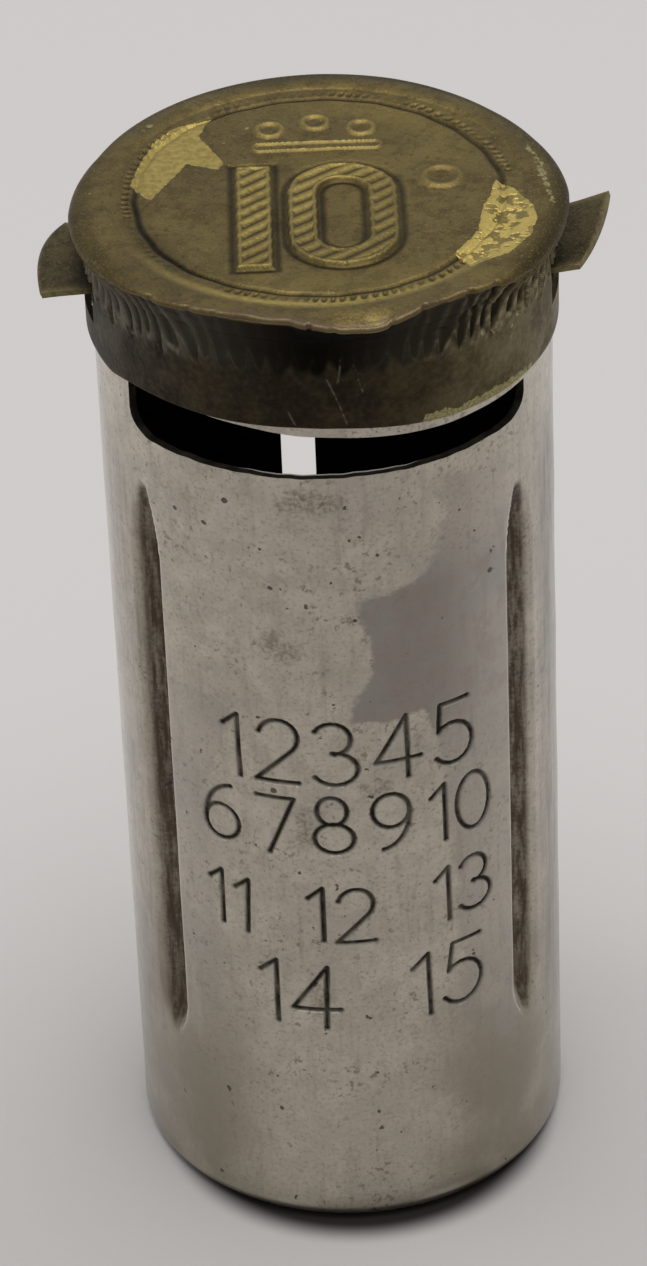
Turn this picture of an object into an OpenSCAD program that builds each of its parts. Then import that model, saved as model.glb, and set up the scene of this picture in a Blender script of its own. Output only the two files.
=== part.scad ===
// Pocket savings bank for dimes: a fluted tube, a brass cap, two eared latches and the lock that frees them.
// The origin is on the axis at the underside of the base. +Z is up, and the coin slot faces -Y.

/* [Tube] */
// Outside radius of the tube
tube_r = 11; // [10.8:0.1:11.2]
// Thickness of the tube's sheet
tube_wall = 0.4; // [0.35:0.05:0.45]
// Height of the tube's open mouth
tube_h = 52.2; // [52.1:0.05:52.25]
// Half the angle that the coin slot spans
slot_half_angle = 57.8; // [56:0.2:60]
// Height of the slot's lower edge
slot_z = 46.1; // [45.8:0.1:46.3]
// Height of the slot's opening
slot_h = 2.1; // [1.9:0.1:2.2]

/* [Flutes] */
// Angle of the front flutes, each side of the front
flute_angle = 53; // [48:1:58]
// How deep the flutes are pressed in
flute_depth = 1.2; // [0.8:0.1:1.3]
// Radius of a flute's round bottom
flute_r = 1.6; // [1.4:0.1:1.8]
// Height of the flutes' lower ends
flute_z0 = 10.2; // [8:0.2:14]
// Height of the flutes' upper ends
flute_z1 = 42.6; // [38:0.2:43]

/* [Gauge slit] */
// Width of the slit in the back that shows the coins
slit_w = 1.73; // [1.5:0.01:2]
// Sideways place of the slit's middle
slit_x = -1.5; // [-2:0.1:0]
// Height of the slit's lower end
slit_z0 = 5; // [4:0.5:8]
// Height of the slit's upper end
slit_z1 = 43.5; // [40:0.5:44]

/* [Cap] */
// Thickness of the cap's sheet
cap_wall = 0.3; // [0.25:0.05:0.3]
// Gap between the tube and the cap's skirt
cap_gap = 0.05; // [0.04:0.01:0.06]
// Height of the skirt's lower edge
skirt_z = 49; // [48.8:0.1:49.2]
// Outside radius of the crimped waist
waist_r = 11; // [10.9:0.05:11]
// Outside radius of the rolled rim
rim_r = 11.8; // [11.7:0.05:11.9]
// Height of the flat panel on top
panel_z = 54.9; // [54.8:0.05:55]
// Middle radius of the beaded groove round the panel
ring_r = 8.8; // [8.4:0.1:9]
// Height of the raised figure on the panel
figure_h = 0.18; // [0.1:0.02:0.25]

/* [Latches] */
// Width of each ear
ear_w = 5.6; // [5:0.1:5.8]
// How far each ear reaches from the axis
ear_reach = 13.5; // [13:0.1:13.8]
// How far the ears' tips stand above or below their roots
ear_tilt = 0.8; // [0.4:0.1:1]
// Height of the windows' lower edges
window_z0 = 50.3; // [50.2:0.05:50.5]
// Width of the windows that the ears come out of
window_w = 6.6; // [6.4:0.1:6.8]
// Radius of the hinge pins
pin_r = 0.25; // [0.2:0.01:0.25]
// How far each latch swings out to lock, in degrees
latch_swing = 7.6; // [7:0.1:7.6]

/* [Lock] */
// How far the lock cup drops to lock
lock_drop = 0.7; // [0.65:0.05:0.7]
// Radius of the lock cup's straight wall
cup_r = 8.8; // [8.4:0.1:8.9]
// Radius of the stem
stem_r = 1.15; // [1:0.05:1.2]
// Thickness of the spring's wire
wire_d = 0.35; // [0.3:0.01:0.36]
// Number of turns in the spring
spring_turns = 5; // [4:1:5]

/* [Hidden] */
$fn = 96;
small = 0.01;
fine_fn = 48;

// Base
base_lip_r = 9.6;
base_lip_h = 0.4;
base_disc_h = 0.4;
base_disc_gap = 0.05;
foot_round = 0.8;
arc_steps = 6;

// Tube
bore_r = tube_r - tube_wall;
slot_corner = 0.9;
flute_axis_r = tube_r + flute_r - flute_depth;
ridge_r = flute_r + tube_wall;
cut_reach = 2 * tube_r;

// Cap
skirt_in_r = tube_r + cap_gap;
skirt_r = skirt_in_r + cap_wall;
waist_in_r = waist_r - cap_wall;
shoulder_z = tube_h + 0.15;
waist_z0 = shoulder_z + 0.4;
waist_z1 = waist_z0 + 0.8;
roll_r = 0.6;
roll_z = panel_z - 0.55;
roll_mid_r = rim_r - roll_r;
band_rise = 0.15;
groove_w = 0.5;
groove_depth = 0.25;

// Raised figure on the panel
figure_y0 = -6.4;
figure_y1 = 2.6;
one_x = -3.9;
one_w = 1.7;
zero_x = 1.15;
zero_r = 2.6;
zero_band = 1.4;
top_ring_y = 6.6;
top_ring_step = 2.2;
side_ring_x = 5.9;
side_ring_y = 1.2;

// Windows in the skirt, and the notches in the tube's mouth behind them
window_z1 = shoulder_z - 0.1;
notch_w = window_w - 0.3;
notch_z = window_z0 + 0.4;

// Latches: each hangs from a pin and has a leg, a nose outside it and a cam inside it
sheet = 0.3;
pin_gap = 0.03;
pin_x = 9.85;
pin_z = tube_h + 0.25;
eye_r = 0.5;
eye_w = 3.8;
leg_w = 3.2;
leg_x0 = pin_x - sheet / 2;
leg_z0 = 49.2;
ear_z1 = pin_z - eye_r;
ear_z0 = ear_z1 - sheet;
ear_root_x = bore_r + 0.15;
ear_bend_x = skirt_r + 0.5;
ear_corner = 1.5;
nose_w = 2.8;
nose_z0 = leg_z0 + 0.15;
nose_z1 = nose_z0 + 0.55;
nose_reach = bore_r - 0.1;
nose_hole_w = nose_w + 0.8;
nose_hole_z0 = nose_z0 - 0.15;
nose_rise = (nose_reach - pin_x) * sin(latch_swing) + (pin_z - nose_z1) * (1 - cos(latch_swing));
nose_hole_z1 = nose_z1 + nose_rise + 0.25;

// Lugs of the liner that hold the pins
lug_t = 0.3;
lug_gap = 0.1;
lug_half_w = 0.5;
lug_z0 = pin_z - lug_half_w;
lug_reach = bore_r - 0.15;

// Lock cup, stem and spring
cup_wall = 0.3;
cup_z0 = slot_z + slot_h;
cup_flange_z = leg_z0 + 1.35;
cup_flange_r = leg_x0 - 0.1;
cam_h = 0.3;
cam_z1 = cup_flange_z - 0.1;
cam_z0 = cam_z1 - 0.5;
cup_bottom_round = 0.6;
spigot_r = 0.8;
stem_head_r = 2;
stem_head_h = 0.3;
liner_floor_z = waist_z0 + 0.4;
liner_t = 0.25;
liner_pan_r = 9.6;
liner_flange_z = waist_z1 + 0.4;
liner_r = 11.1;
stem_gap = 0.1;
coil_r = 2.15;
coil_sides = 6;
coil_steps = 16;

function arc(cx, cy, r, a0, a1, steps = arc_steps) =
    [for (i = [0:steps]) let (a = a0 + (a1 - a0) * i / steps) [cx + r * cos(a), cy + r * sin(a)]];

// A place on the wall: the angle runs from the front, and positive is to the right.
module at_angle(angle, r) { rotate([0, 0, angle]) translate([0, -r, 0]) children(); }

module capsule(r, z0, z1) {
    translate([0, 0, z0 + r]) cylinder(r = r, h = z1 - z0 - 2 * r, $fn = fine_fn);
    for (z = [z0 + r, z1 - r]) translate([0, 0, z]) sphere(r = r, $fn = fine_fn);
}

module sector(half_angle, z0, z1) {
    reach = 2 * cut_reach;
    side = [reach * sin(half_angle), -reach * cos(half_angle)];
    translate([0, 0, z0]) linear_extrude(z1 - z0)
        polygon([[0, 0], [-side[0], side[1]], [-side[0], -reach], [side[0], -reach], side]);
}

module slot_cut() {
    corner_angle = slot_half_angle - slot_corner / tube_r * 180 / PI;
    sector(corner_angle, slot_z, slot_z + slot_h);
    sector(slot_half_angle, slot_z + slot_corner, slot_z + slot_h);
    for (side = [-1, 1]) rotate([0, 0, side * corner_angle]) translate([0, 0, slot_z + slot_corner])
        rotate([90, 0, 0]) cylinder(r = slot_corner, h = cut_reach, $fn = fine_fn);
}

module slit_cut() {
    mid_y = tube_r;
    translate([slit_x - slit_w / 2, mid_y - tube_r / 2, slit_z0 + slit_w / 2])
        cube([slit_w, tube_r, slit_z1 - slit_z0 - slit_w]);
    for (z = [slit_z0 + slit_w / 2, slit_z1 - slit_w / 2]) translate([slit_x, mid_y + tube_r / 2, z])
        rotate([90, 0, 0]) cylinder(d = slit_w, h = tube_r, $fn = fine_fn);
}

module tube_blank() {
    rotate_extrude() polygon(concat(
        arc(tube_r - foot_round, foot_round, foot_round, -90, 0),
        [[tube_r, tube_h], [bore_r, tube_h], [bore_r, base_lip_h],
         [base_lip_r, base_lip_h], [base_lip_r, 0]]));
}

module latch_openings() {
    for (side = [-1, 1]) {
        translate([side * tube_r, 0, (nose_hole_z0 + nose_hole_z1) / 2])
            cube([tube_r / 2, nose_hole_w, nose_hole_z1 - nose_hole_z0], center = true);
        translate([side * tube_r, 0, notch_z + tube_r / 2])
            cube([tube_r / 2, notch_w, tube_r], center = true);
    }
}

// Nickel-plated tube with four pressed flutes, the coin slot, the gauge slit and the openings for the latches
module tube_body() {
    color([0.66, 0.65, 0.61]) difference() {
        union() {
            tube_blank();
            intersection() {
                cylinder(r = tube_r - tube_wall / 2, h = tube_h);
                for (angle = [-1, 1] * flute_angle, back = [0, 180])
                    at_angle(back + angle, flute_axis_r)
                        capsule(ridge_r, flute_z0 - tube_wall, flute_z1 + tube_wall);
            }
        }
        for (angle = [-1, 1] * flute_angle, back = [0, 180])
            at_angle(back + angle, flute_axis_r) capsule(flute_r, flute_z0, flute_z1);
        slot_cut();
        slit_cut();
        latch_openings();
    }
}

// Flat bottom, laid inside on the tube's turned-in edge
module base_disc() {
    color([0.62, 0.6, 0.55]) translate([0, 0, base_lip_h])
        cylinder(r = bore_r - base_disc_gap, h = base_disc_h);
}

// The ear from above: a neck as wide as the leg, then a tongue with two round corners
module ear_outline() {
    corner_x = ear_reach - ear_corner;
    corner_y = ear_w / 2 - ear_corner;
    translate([pin_x, -leg_w / 2]) square([ear_root_x - pin_x + small, leg_w]);
    translate([ear_root_x, -ear_w / 2]) square([corner_x - ear_root_x, ear_w]);
    translate([ear_root_x, -corner_y]) square([ear_reach - ear_root_x, 2 * corner_y]);
    for (side = [-1, 1]) translate([corner_x, side * corner_y]) circle(r = ear_corner, $fn = fine_fn);
}

// Bent tongue outside the window: tilt is how far its outer edge rises
module ear(tilt) {
    reach_z = 4;
    intersection() {
        translate([0, ear_w / 2, 0]) rotate([90, 0, 0]) linear_extrude(ear_w)
            polygon([[pin_x, ear_z0], [ear_bend_x, ear_z0], [ear_reach, ear_z0 + tilt],
                     [ear_reach, ear_z1 + tilt], [ear_bend_x, ear_z1], [pin_x, ear_z1]]);
        translate([0, 0, ear_z0 - reach_z / 2]) linear_extrude(reach_z) ear_outline();
    }
}

// One latch on the right as it rests, drawn in clear of the tube's wall
module latch(tilt) {
    difference() {
        union() {
            translate([pin_x, eye_w / 2, pin_z]) rotate([90, 0, 0])
                cylinder(r = eye_r, h = eye_w, $fn = fine_fn);
            translate([leg_x0, -leg_w / 2, leg_z0]) cube([sheet, leg_w, pin_z - leg_z0]);
            translate([0, nose_w / 2, 0]) rotate([90, 0, 0]) linear_extrude(nose_w)
                polygon([[leg_x0 - cam_h, leg_z0], [leg_x0 + small, leg_z0], [leg_x0 + small, cam_z1],
                         [leg_x0, cam_z1], [leg_x0 - cam_h, cam_z0]]);
            intersection() {
                translate([0, 0, nose_z0]) cylinder(r = nose_reach, h = nose_z1 - nose_z0);
                translate([pin_x, -nose_w / 2, nose_z0]) cube([2, nose_w, nose_z1 - nose_z0]);
            }
            ear(tilt);
        }
        translate([pin_x, eye_w, pin_z]) rotate([90, 0, 0])
            cylinder(r = pin_r + pin_gap, h = 2 * eye_w, $fn = fine_fn);
    }
}

// Sheet-brass lever: its ear droops on the left and flares up on the right
module left_latch() { color([0.33, 0.29, 0.18]) mirror([1, 0, 0]) latch(-ear_tilt); }

module right_latch() { color([0.33, 0.29, 0.18]) latch(ear_tilt); }

module hinge_pin(side) {
    length = eye_w + 2 * (lug_gap + lug_t);
    color([0.6, 0.58, 0.5]) translate([side * pin_x, length / 2, pin_z]) rotate([90, 0, 0])
        cylinder(r = pin_r, h = length, $fn = fine_fn);
}

module left_hinge_pin() { hinge_pin(-1); }

module right_hinge_pin() { hinge_pin(1); }

module cap_outside() {
    rotate_extrude() polygon(concat(
        [[0, skirt_z], [0, panel_z], [ring_r - groove_w / 2, panel_z],
         [ring_r, panel_z - groove_depth], [ring_r + groove_w / 2, panel_z],
         [(ring_r + rim_r) / 2, panel_z + band_rise]],
        arc(roll_mid_r, roll_z, roll_r, 90, -40),
        [[waist_r, waist_z1], [waist_r, waist_z0], [skirt_r, shoulder_z - 0.1], [skirt_r, skirt_z]]));
}

module cap_inside() {
    roll_in_r = roll_r - cap_wall;
    ceiling_z = panel_z - cap_wall - groove_depth / 2;
    rotate_extrude() polygon(concat(
        [[0, skirt_z - 1], [0, ceiling_z], [ring_r - groove_w, ceiling_z],
         [ring_r, ceiling_z - groove_depth / 2], [ring_r + groove_w, ceiling_z]],
        arc(roll_mid_r, roll_z - 0.05, roll_in_r, 90, -40),
        [[waist_in_r, waist_z1 - 0.05], [waist_in_r, waist_z0 + 0.05], [skirt_in_r, shoulder_z],
         [skirt_in_r, skirt_z - 1]]));
}

module windows() {
    for (side = [-1, 1]) translate([side * tube_r, 0, (window_z0 + window_z1) / 2])
        cube([3, window_w, window_z1 - window_z0], center = true);
}

module raised_ring(x, y, r_out, r_in) {
    translate([x, y, panel_z - small]) difference() {
        cylinder(r = r_out, h = figure_h + small, $fn = fine_fn);
        translate([0, 0, -1]) cylinder(r = r_in, h = 3, $fn = fine_fn);
    }
}

// A plain number ten, which is a bar and a round-ended ring, with small rings round it
module raised_figure() {
    translate([0, 0, panel_z - small]) linear_extrude(figure_h + small) {
        translate([one_x, figure_y0]) square([one_w, figure_y1 - figure_y0]);
        difference() {
            round_ended(zero_x, zero_r, figure_y0, figure_y1);
            round_ended(zero_x, zero_r - zero_band, figure_y0 + zero_band, figure_y1 - zero_band);
        }
    }
    for (x = [-1, 0, 1] * top_ring_step) raised_ring(x, top_ring_y - 0.12 * x * x, 0.8, 0.4);
    raised_ring(side_ring_x, side_ring_y, 1.1, 0.6);
}

module round_ended(x, r, y0, y1) {
    translate([x - r, y0 + r]) square([2 * r, y1 - y0 - 2 * r]);
    for (y = [y0 + r, y1 - r]) translate([x, y]) circle(r = r, $fn = fine_fn);
}

// Brass cap in one sheet: panel, beaded ring, rolled rim, crimped waist, skirt and windows
module cap_shell() {
    color([0.4, 0.35, 0.2]) difference() {
        union() {
            cap_outside();
            raised_figure();
        }
        windows();
        cap_inside();
    }
}

// Two lugs on each side hang from the pan and hold that side's pin
module lugs() {
    lug_h = liner_floor_z + small - lug_z0;
    intersection() {
        translate([0, 0, lug_z0]) cylinder(r = lug_reach, h = lug_h);
        for (side = [-1, 1], y = [-1, 1] * (eye_w / 2 + lug_gap + lug_t / 2))
            translate([side * pin_x, y, lug_z0 + lug_h / 2])
                cube([2 * lug_half_w, lug_t, lug_h], center = true);
    }
}

// Brass pan held above the cap's crimped waist, with lugs for the hinge pins
module cap_liner() {
    color([0.62, 0.52, 0.28]) difference() {
        union() {
            rotate_extrude() polygon([
                [stem_r + stem_gap, liner_floor_z], [liner_pan_r, liner_floor_z],
                [liner_pan_r + 0.3, liner_flange_z], [liner_r, liner_flange_z],
                [liner_r, liner_flange_z + liner_t], [liner_pan_r, liner_flange_z + liner_t],
                [liner_pan_r - 0.3, liner_floor_z + liner_t], [stem_r + stem_gap, liner_floor_z + liner_t]]);
            lugs();
        }
        for (side = [-1, 1]) translate([side * pin_x, eye_w, pin_z]) rotate([90, 0, 0])
            cylinder(r = pin_r, h = 2 * eye_w, $fn = fine_fn);
    }
}

// Cup that the last coin lifts: while it is down, its flange holds the latches out
module lock_cup() {
    color([0.7, 0.6, 0.35]) rotate_extrude() polygon(concat(
        [[spigot_r, cup_z0]],
        arc(cup_r - cup_bottom_round, cup_z0 + cup_bottom_round, cup_bottom_round, -90, 0),
        [[cup_r, cup_flange_z], [cup_flange_r, cup_flange_z], [cup_flange_r, cup_flange_z + cup_wall],
         [cup_r - cup_wall, cup_flange_z + cup_wall], [cup_r - cup_wall, cup_z0 + cup_wall],
         [spigot_r, cup_z0 + cup_wall]]));
}

// Headed stem riveted into the cup's floor, sliding in the liner's middle hole
module lock_stem() {
    head_z = liner_floor_z + liner_t + lock_drop;
    color([0.6, 0.6, 0.6]) {
        translate([0, 0, cup_z0]) cylinder(r = spigot_r, h = cup_wall + small, $fn = fine_fn);
        translate([0, 0, cup_z0 + cup_wall])
            cylinder(r = stem_r, h = head_z - cup_z0 - cup_wall + small, $fn = fine_fn);
        translate([0, 0, head_z]) cylinder(r = stem_head_r, h = stem_head_h, $fn = fine_fn);
    }
}

// Spring between the cup's floor and the liner: one tube swept along a helix
spring_z0 = cup_z0 + cup_wall + wire_d / 2 + small;
spring_z1 = liner_floor_z - wire_d / 2 - small;
spring_pitch = (spring_z1 - spring_z0) / spring_turns;
spring_rings = spring_turns * coil_steps;
function coil_point(i, j) =
    let (a = 360 * i / coil_steps, b = 360 * j / coil_sides,
         r = coil_r + wire_d / 2 * cos(b),
         z = spring_z0 + (spring_z1 - spring_z0) * i / spring_rings + wire_d / 2 * sin(b))
    [r * cos(a), r * sin(a), z];
spring_points = [for (i = [0:spring_rings], j = [0:coil_sides - 1]) coil_point(i, j)];
spring_sides = [for (i = [0:spring_rings - 1], j = [0:coil_sides - 1], half = [0, 1])
    let (k = (j + 1) % coil_sides, a = i * coil_sides, b = a + coil_sides)
    half == 0 ? [a + j, b + j, b + k] : [a + j, b + k, a + k]];
spring_caps = [for (j = [1:coil_sides - 2], end = [0, 1]) let (a = end * spring_rings * coil_sides)
    end == 0 ? [a, a + j, a + j + 1] : [a, a + j + 1, a + j]];
echo(spring_gap = spring_pitch - wire_d);

module lock_spring() {
    color([0.55, 0.55, 0.55]) polyhedron(spring_points, concat(spring_sides, spring_caps));
}

tube_body();
base_disc();
cap_shell();
cap_liner();
left_latch();
right_latch();
left_hinge_pin();
right_hinge_pin();
lock_cup();
lock_stem();
lock_spring();
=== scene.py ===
# %% [markdown]
# # A pocket savings bank for dimes
# The real bank is two pressed-metal shells: a nickel-plated tube and a tarnished brass cap.
# Two bent ears come out of windows in the cap's skirt, and a small lock hides under its panel.
# The construction comes from the CAD model. This lesson gives each visible piece its worked surface
# and its finish.
# %% Load the construction
import math

import bmesh
import bpy
import numpy as np
from mathutils import Matrix, Vector


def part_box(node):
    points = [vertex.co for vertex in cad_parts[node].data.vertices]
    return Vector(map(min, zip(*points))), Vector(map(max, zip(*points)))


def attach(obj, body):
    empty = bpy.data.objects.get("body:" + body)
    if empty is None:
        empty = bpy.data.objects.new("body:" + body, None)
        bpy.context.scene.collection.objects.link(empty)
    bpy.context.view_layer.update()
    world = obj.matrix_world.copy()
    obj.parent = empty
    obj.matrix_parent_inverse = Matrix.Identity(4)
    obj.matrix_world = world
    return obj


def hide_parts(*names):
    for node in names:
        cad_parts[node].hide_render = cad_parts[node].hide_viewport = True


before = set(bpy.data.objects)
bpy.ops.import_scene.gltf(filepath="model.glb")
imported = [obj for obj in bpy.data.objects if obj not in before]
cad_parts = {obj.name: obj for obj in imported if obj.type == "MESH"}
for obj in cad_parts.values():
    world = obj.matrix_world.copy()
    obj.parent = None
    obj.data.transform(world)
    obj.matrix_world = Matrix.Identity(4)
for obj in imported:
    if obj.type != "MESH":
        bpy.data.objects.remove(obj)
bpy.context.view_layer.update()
MM = 0.001

# %% [markdown]
# ## Sizes shared by the pieces
# Sheet-metal parts nest with gaps of a few hundredths of a millimetre, so a surface drawn by eye would clip.
# The main sizes are read back from the CAD nodes, and the rest repeat the CAD values, all in millimetres.
# %% Sizes
tube_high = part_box("tube_body")[1]
cap_low, cap_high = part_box("cap_shell")
TUBE_R = tube_high.x / MM
TUBE_TOP = tube_high.z / MM
WALL = 0.4
BORE_R = TUBE_R - WALL
SKIRT_Z = cap_low.z / MM
RIM_R = cap_high.x / MM
CAP_WALL = 0.3
SKIRT_R = TUBE_R + 0.05 + CAP_WALL
PANEL_Z = 54.9
print("tube radius", round(TUBE_R, 2), "rim radius", round(RIM_R, 2), "skirt edge", round(SKIRT_Z, 2))

# %% [markdown]
# ## Camera
# The bank is seen from above at 36 degrees through a long lens, tilted a little to the right.
# A camera could be placed by eye, but a hand-held view is easier to match from what it aims at:
# the point on the axis, the distance, the elevation and the roll are set, and the matrix follows from them.
# %% Camera
AIM = Vector((-0.606, 0, 29.33)) * MM
DISTANCE = 273.73 * MM
ELEVATION = math.radians(35.9)
ROLL = math.radians(2.39)
LENS_MM = 155.89


def make_camera():
    back = Vector((0, -math.cos(ELEVATION), math.sin(ELEVATION)))
    level_up = Vector((0, math.sin(ELEVATION), math.cos(ELEVATION)))
    level_right = Vector((1, 0, 0))
    right = level_right * math.cos(ROLL) - level_up * math.sin(ROLL)
    up = level_right * math.sin(ROLL) + level_up * math.cos(ROLL)
    data = bpy.data.cameras.new("camera")
    data.lens = LENS_MM
    data.clip_start = 0.01
    camera = bpy.data.objects.new("camera", data)
    bpy.context.scene.collection.objects.link(camera)
    turn = Matrix((right, up, back)).transposed().to_4x4()
    camera.matrix_world = Matrix.Translation(AIM + back * DISTANCE) @ turn
    bpy.context.scene.camera = camera
    return camera


camera = make_camera()
print("camera at, mm:", [round(v / MM, 1) for v in camera.matrix_world.translation])
print("camera right", [round(v, 4) for v in camera.matrix_world.col[0]])

# %% [markdown]
# ## Light
# Polished metal shows what surrounds it, so the surroundings are as much a part of the finish
# as the material. One large soft lamp right above leaves only a narrow shadow round the foot,
# a weak one on the left lifts that side, and a grey world fills the rest.
# %% Light
def area_lamp(name, place, target, size, watts):
    data = bpy.data.lights.new(name, "AREA")
    data.shape = "DISK"
    data.size = size
    data.energy = watts
    lamp = bpy.data.objects.new(name, data)
    bpy.context.scene.collection.objects.link(lamp)
    lamp.location = place
    lamp.rotation_mode = "QUATERNION"
    lamp.rotation_quaternion = (Vector(target) - Vector(place)).to_track_quat("-Z", "Y")
    return lamp


def make_world(strength):
    world = bpy.data.worlds.new("studio")
    world.use_nodes = True
    world.node_tree.nodes["Background"].inputs["Color"].default_value = (0.97, 0.98, 1, 1)
    world.node_tree.nodes["Background"].inputs["Strength"].default_value = strength
    bpy.context.scene.world = world


bpy.context.scene.view_settings.view_transform = "Standard"
make_world(0.55)
area_lamp("key_lamp", (0.04, -0.02, 0.6), (0, 0, 0.02), 0.5, 1.9)
area_lamp("left_lamp", (-0.5, 0.05, 0.3), (0, 0, 0.03), 0.3, 0.25)

# %% [markdown]
# ## Small tools for materials
# Worn metal is the same few layers over and over: noise, a threshold and a mix of two colours.
# These helpers add one node each and return its output, so a finish reads as a list of layers.
# The coordinates are in millimetres, so every scale below is a count per millimetre.
# %% Node helpers
def add_node(tree, kind, settings=None, **inputs):
    node = tree.nodes.new(kind)
    for name, value in (settings or {}).items():
        setattr(node, name, value)
    for name, value in inputs.items():
        plug(tree, node.inputs[name.replace("_", " ")], value)
    return node


def plug(tree, socket, value):
    if isinstance(value, bpy.types.NodeSocket):
        tree.links.new(value, socket)
    elif hasattr(value, "__len__") and len(value) == 3 and socket.type == "RGBA":
        socket.default_value = (*value, 1)
    else:
        socket.default_value = value


def maths(tree, operation, a, b):
    node = add_node(tree, "ShaderNodeMath", {"operation": operation})
    plug(tree, node.inputs[0], a)
    plug(tree, node.inputs[1], b)
    return node.outputs[0]


def times(tree, a, b):
    return maths(tree, "MULTIPLY", a, b)


def mix(tree, factor, a, b):
    node = add_node(tree, "ShaderNodeMix", {"data_type": "RGBA"})
    plug(tree, node.inputs[0], factor)
    plug(tree, node.inputs[6], a)
    plug(tree, node.inputs[7], b)
    return node.outputs[2]


def layered(tree, base, layers):
    """Lays colours over a base, one after another, from a list of (share, colour) pairs."""
    for share, colour in layers:
        base = mix(tree, share, base, colour)
    return base


def step(tree, value, low, high, start=0.0, end=1.0):
    settings = {"interpolation_type": "SMOOTHSTEP"}
    return add_node(tree, "ShaderNodeMapRange", settings, Value=value, From_Min=low, From_Max=high,
                    To_Min=start, To_Max=end).outputs[0]


def coordinates(tree, per_mm=(1, 1, 1)):
    place = add_node(tree, "ShaderNodeTexCoord").outputs["Object"]
    scale = [s / MM for s in per_mm]
    return add_node(tree, "ShaderNodeMapping", Vector=place, Scale=scale).outputs[0]


def noise(tree, vector, scale, detail=4.0, roughness=0.55):
    return add_node(tree, "ShaderNodeTexNoise", Vector=vector, Scale=scale, Detail=detail,
                    Roughness=roughness).outputs[0]


def attribute(tree, name, share=1.0):
    mark = add_node(tree, "ShaderNodeAttribute", {"attribute_name": name}).outputs["Fac"]
    return mark if share == 1 else times(tree, mark, share)


def new_material(name, metallic=1.0):
    material = bpy.data.materials.new(name)
    material.use_nodes = True
    tree = material.node_tree
    shader = tree.nodes["Principled BSDF"]
    shader.inputs["Metallic"].default_value = metallic
    return material, tree, shader


def set_finish(tree, shader, colour, roughness, height, depth_mm):
    """Connects a finish: its colour, its roughness and the height that makes its bump."""
    bump = add_node(tree, "ShaderNodeBump", Height=height, Distance=depth_mm * MM)
    plug(tree, shader.inputs["Base Color"], colour)
    plug(tree, shader.inputs["Roughness"], roughness)
    plug(tree, shader.inputs["Normal"], bump.outputs[0])


# %% [markdown]
# ## Floor
# The bank stands on a pale matt board. A plain plane does it: what matters is that the board is large enough
# to fill the view and the reflections, and that it is a little uneven in tone, as paper is.
# It is also painted darker towards the front, a painted falloff of light.
# Under the front of the foot the board is nearly black. Such a large soft lamp would leave it too pale,
# so a soft dark disc is painted under the bank, shifted forward until it shows in front only.
# %% Floor
BOARD_REACH = 1.5
TONE_Y = (-45, 32)
SHADOW_MIDDLE = (0.25, -2.4, 0)
SHADOW_R = (8.9, 10.7)


def make_floor():
    material, tree, shader = new_material("pale_board", metallic=0.0)
    at = coordinates(tree)
    along = add_node(tree, "ShaderNodeSeparateXYZ", Vector=at).outputs["Y"]
    wander = times(tree, noise(tree, at, 0.03, 2.0), 12)
    # painted falloff of light: the board gets darker towards the front
    tone = step(tree, maths(tree, "ADD", along, wander), *TONE_Y)
    flat = coordinates(tree, (1, 1, 0))
    moved = add_node(tree, "ShaderNodeVectorMath", {"operation": "SUBTRACT"}, Vector=flat)
    moved.inputs[1].default_value = SHADOW_MIDDLE
    away = add_node(tree, "ShaderNodeVectorMath", {"operation": "LENGTH"}, Vector=moved.outputs["Vector"])
    paper = mix(tree, tone, (0.46, 0.437, 0.424), (0.62, 0.595, 0.58))
    board = mix(tree, step(tree, away.outputs["Value"], *SHADOW_R), (0.025, 0.022, 0.02), paper)
    set_finish(tree, shader, board, 0.9, noise(tree, at, 1.5, 3.0), 0.02)
    shader.inputs["Specular IOR Level"].default_value = 0.1
    corners = [(x * BOARD_REACH, y * BOARD_REACH, 0) for x, y in ((-1, -1), (1, -1), (1, 1), (-1, 1))]
    mesh = bpy.data.meshes.new("floor")
    mesh.from_pydata(corners, [], [(0, 1, 2, 3)])
    floor = bpy.data.objects.new("floor", mesh)
    floor.data.materials.append(material)
    bpy.context.scene.collection.objects.link(floor)
    return floor


make_floor()
print("floor is 3 m square")

# %% [markdown]
# ## Meshes from grids
# Both shells are spun and then worked, so each is a grid: rows run along the profile, and columns run
# round the axis.
# A spin modifier would give a perfect surface. Writing the grid ourselves lets every point move
# a little before the faces are made, and a closed grid stays watertight for the cuts that follow.
# Marks that a finish follows are stored on the same points, one value each.
# %% Mesh helpers
def mesh_object(name, points, faces):
    """A mesh from points in millimetres and a list of face arrays, one for each number of corners."""
    mesh = bpy.data.meshes.new(name)
    corners = np.concatenate([f.ravel() for f in faces]).astype(np.int32)
    sizes = np.concatenate([np.full(len(f), f.shape[1]) for f in faces])
    starts = np.concatenate([[0], np.cumsum(sizes)[:-1]]).astype(np.int32)
    mesh.vertices.add(len(points))
    mesh.vertices.foreach_set("co", (np.asarray(points, float) * MM).astype(np.float32).ravel())
    mesh.loops.add(len(corners))
    mesh.loops.foreach_set("vertex_index", corners)
    mesh.polygons.add(len(sizes))
    mesh.polygons.foreach_set("loop_start", starts)
    mesh.update(calc_edges=True)
    mesh.validate()
    piece = bpy.data.objects.new(name, mesh)
    bpy.context.scene.collection.objects.link(piece)
    return piece


def grid_faces(rows, columns, rows_close=False, columns_close=True):
    i = np.arange(rows if rows_close else rows - 1)[:, None]
    j = np.arange(columns if columns_close else columns - 1)[None, :]
    a, b = i * columns, (i + 1) % rows * columns
    k = (j + 1) % columns
    return np.stack([a + j, b + j, b + k, a + k], axis=-1).reshape(-1, 4)


def round_points(angle, radius, height):
    """Points round the axis: the angle is in radians from the front, and positive is to the right."""
    x = radius * np.sin(angle)
    y = -radius * np.cos(angle)
    return np.stack([x, y, height + 0 * x], axis=-1).reshape(-1, 3)


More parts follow.
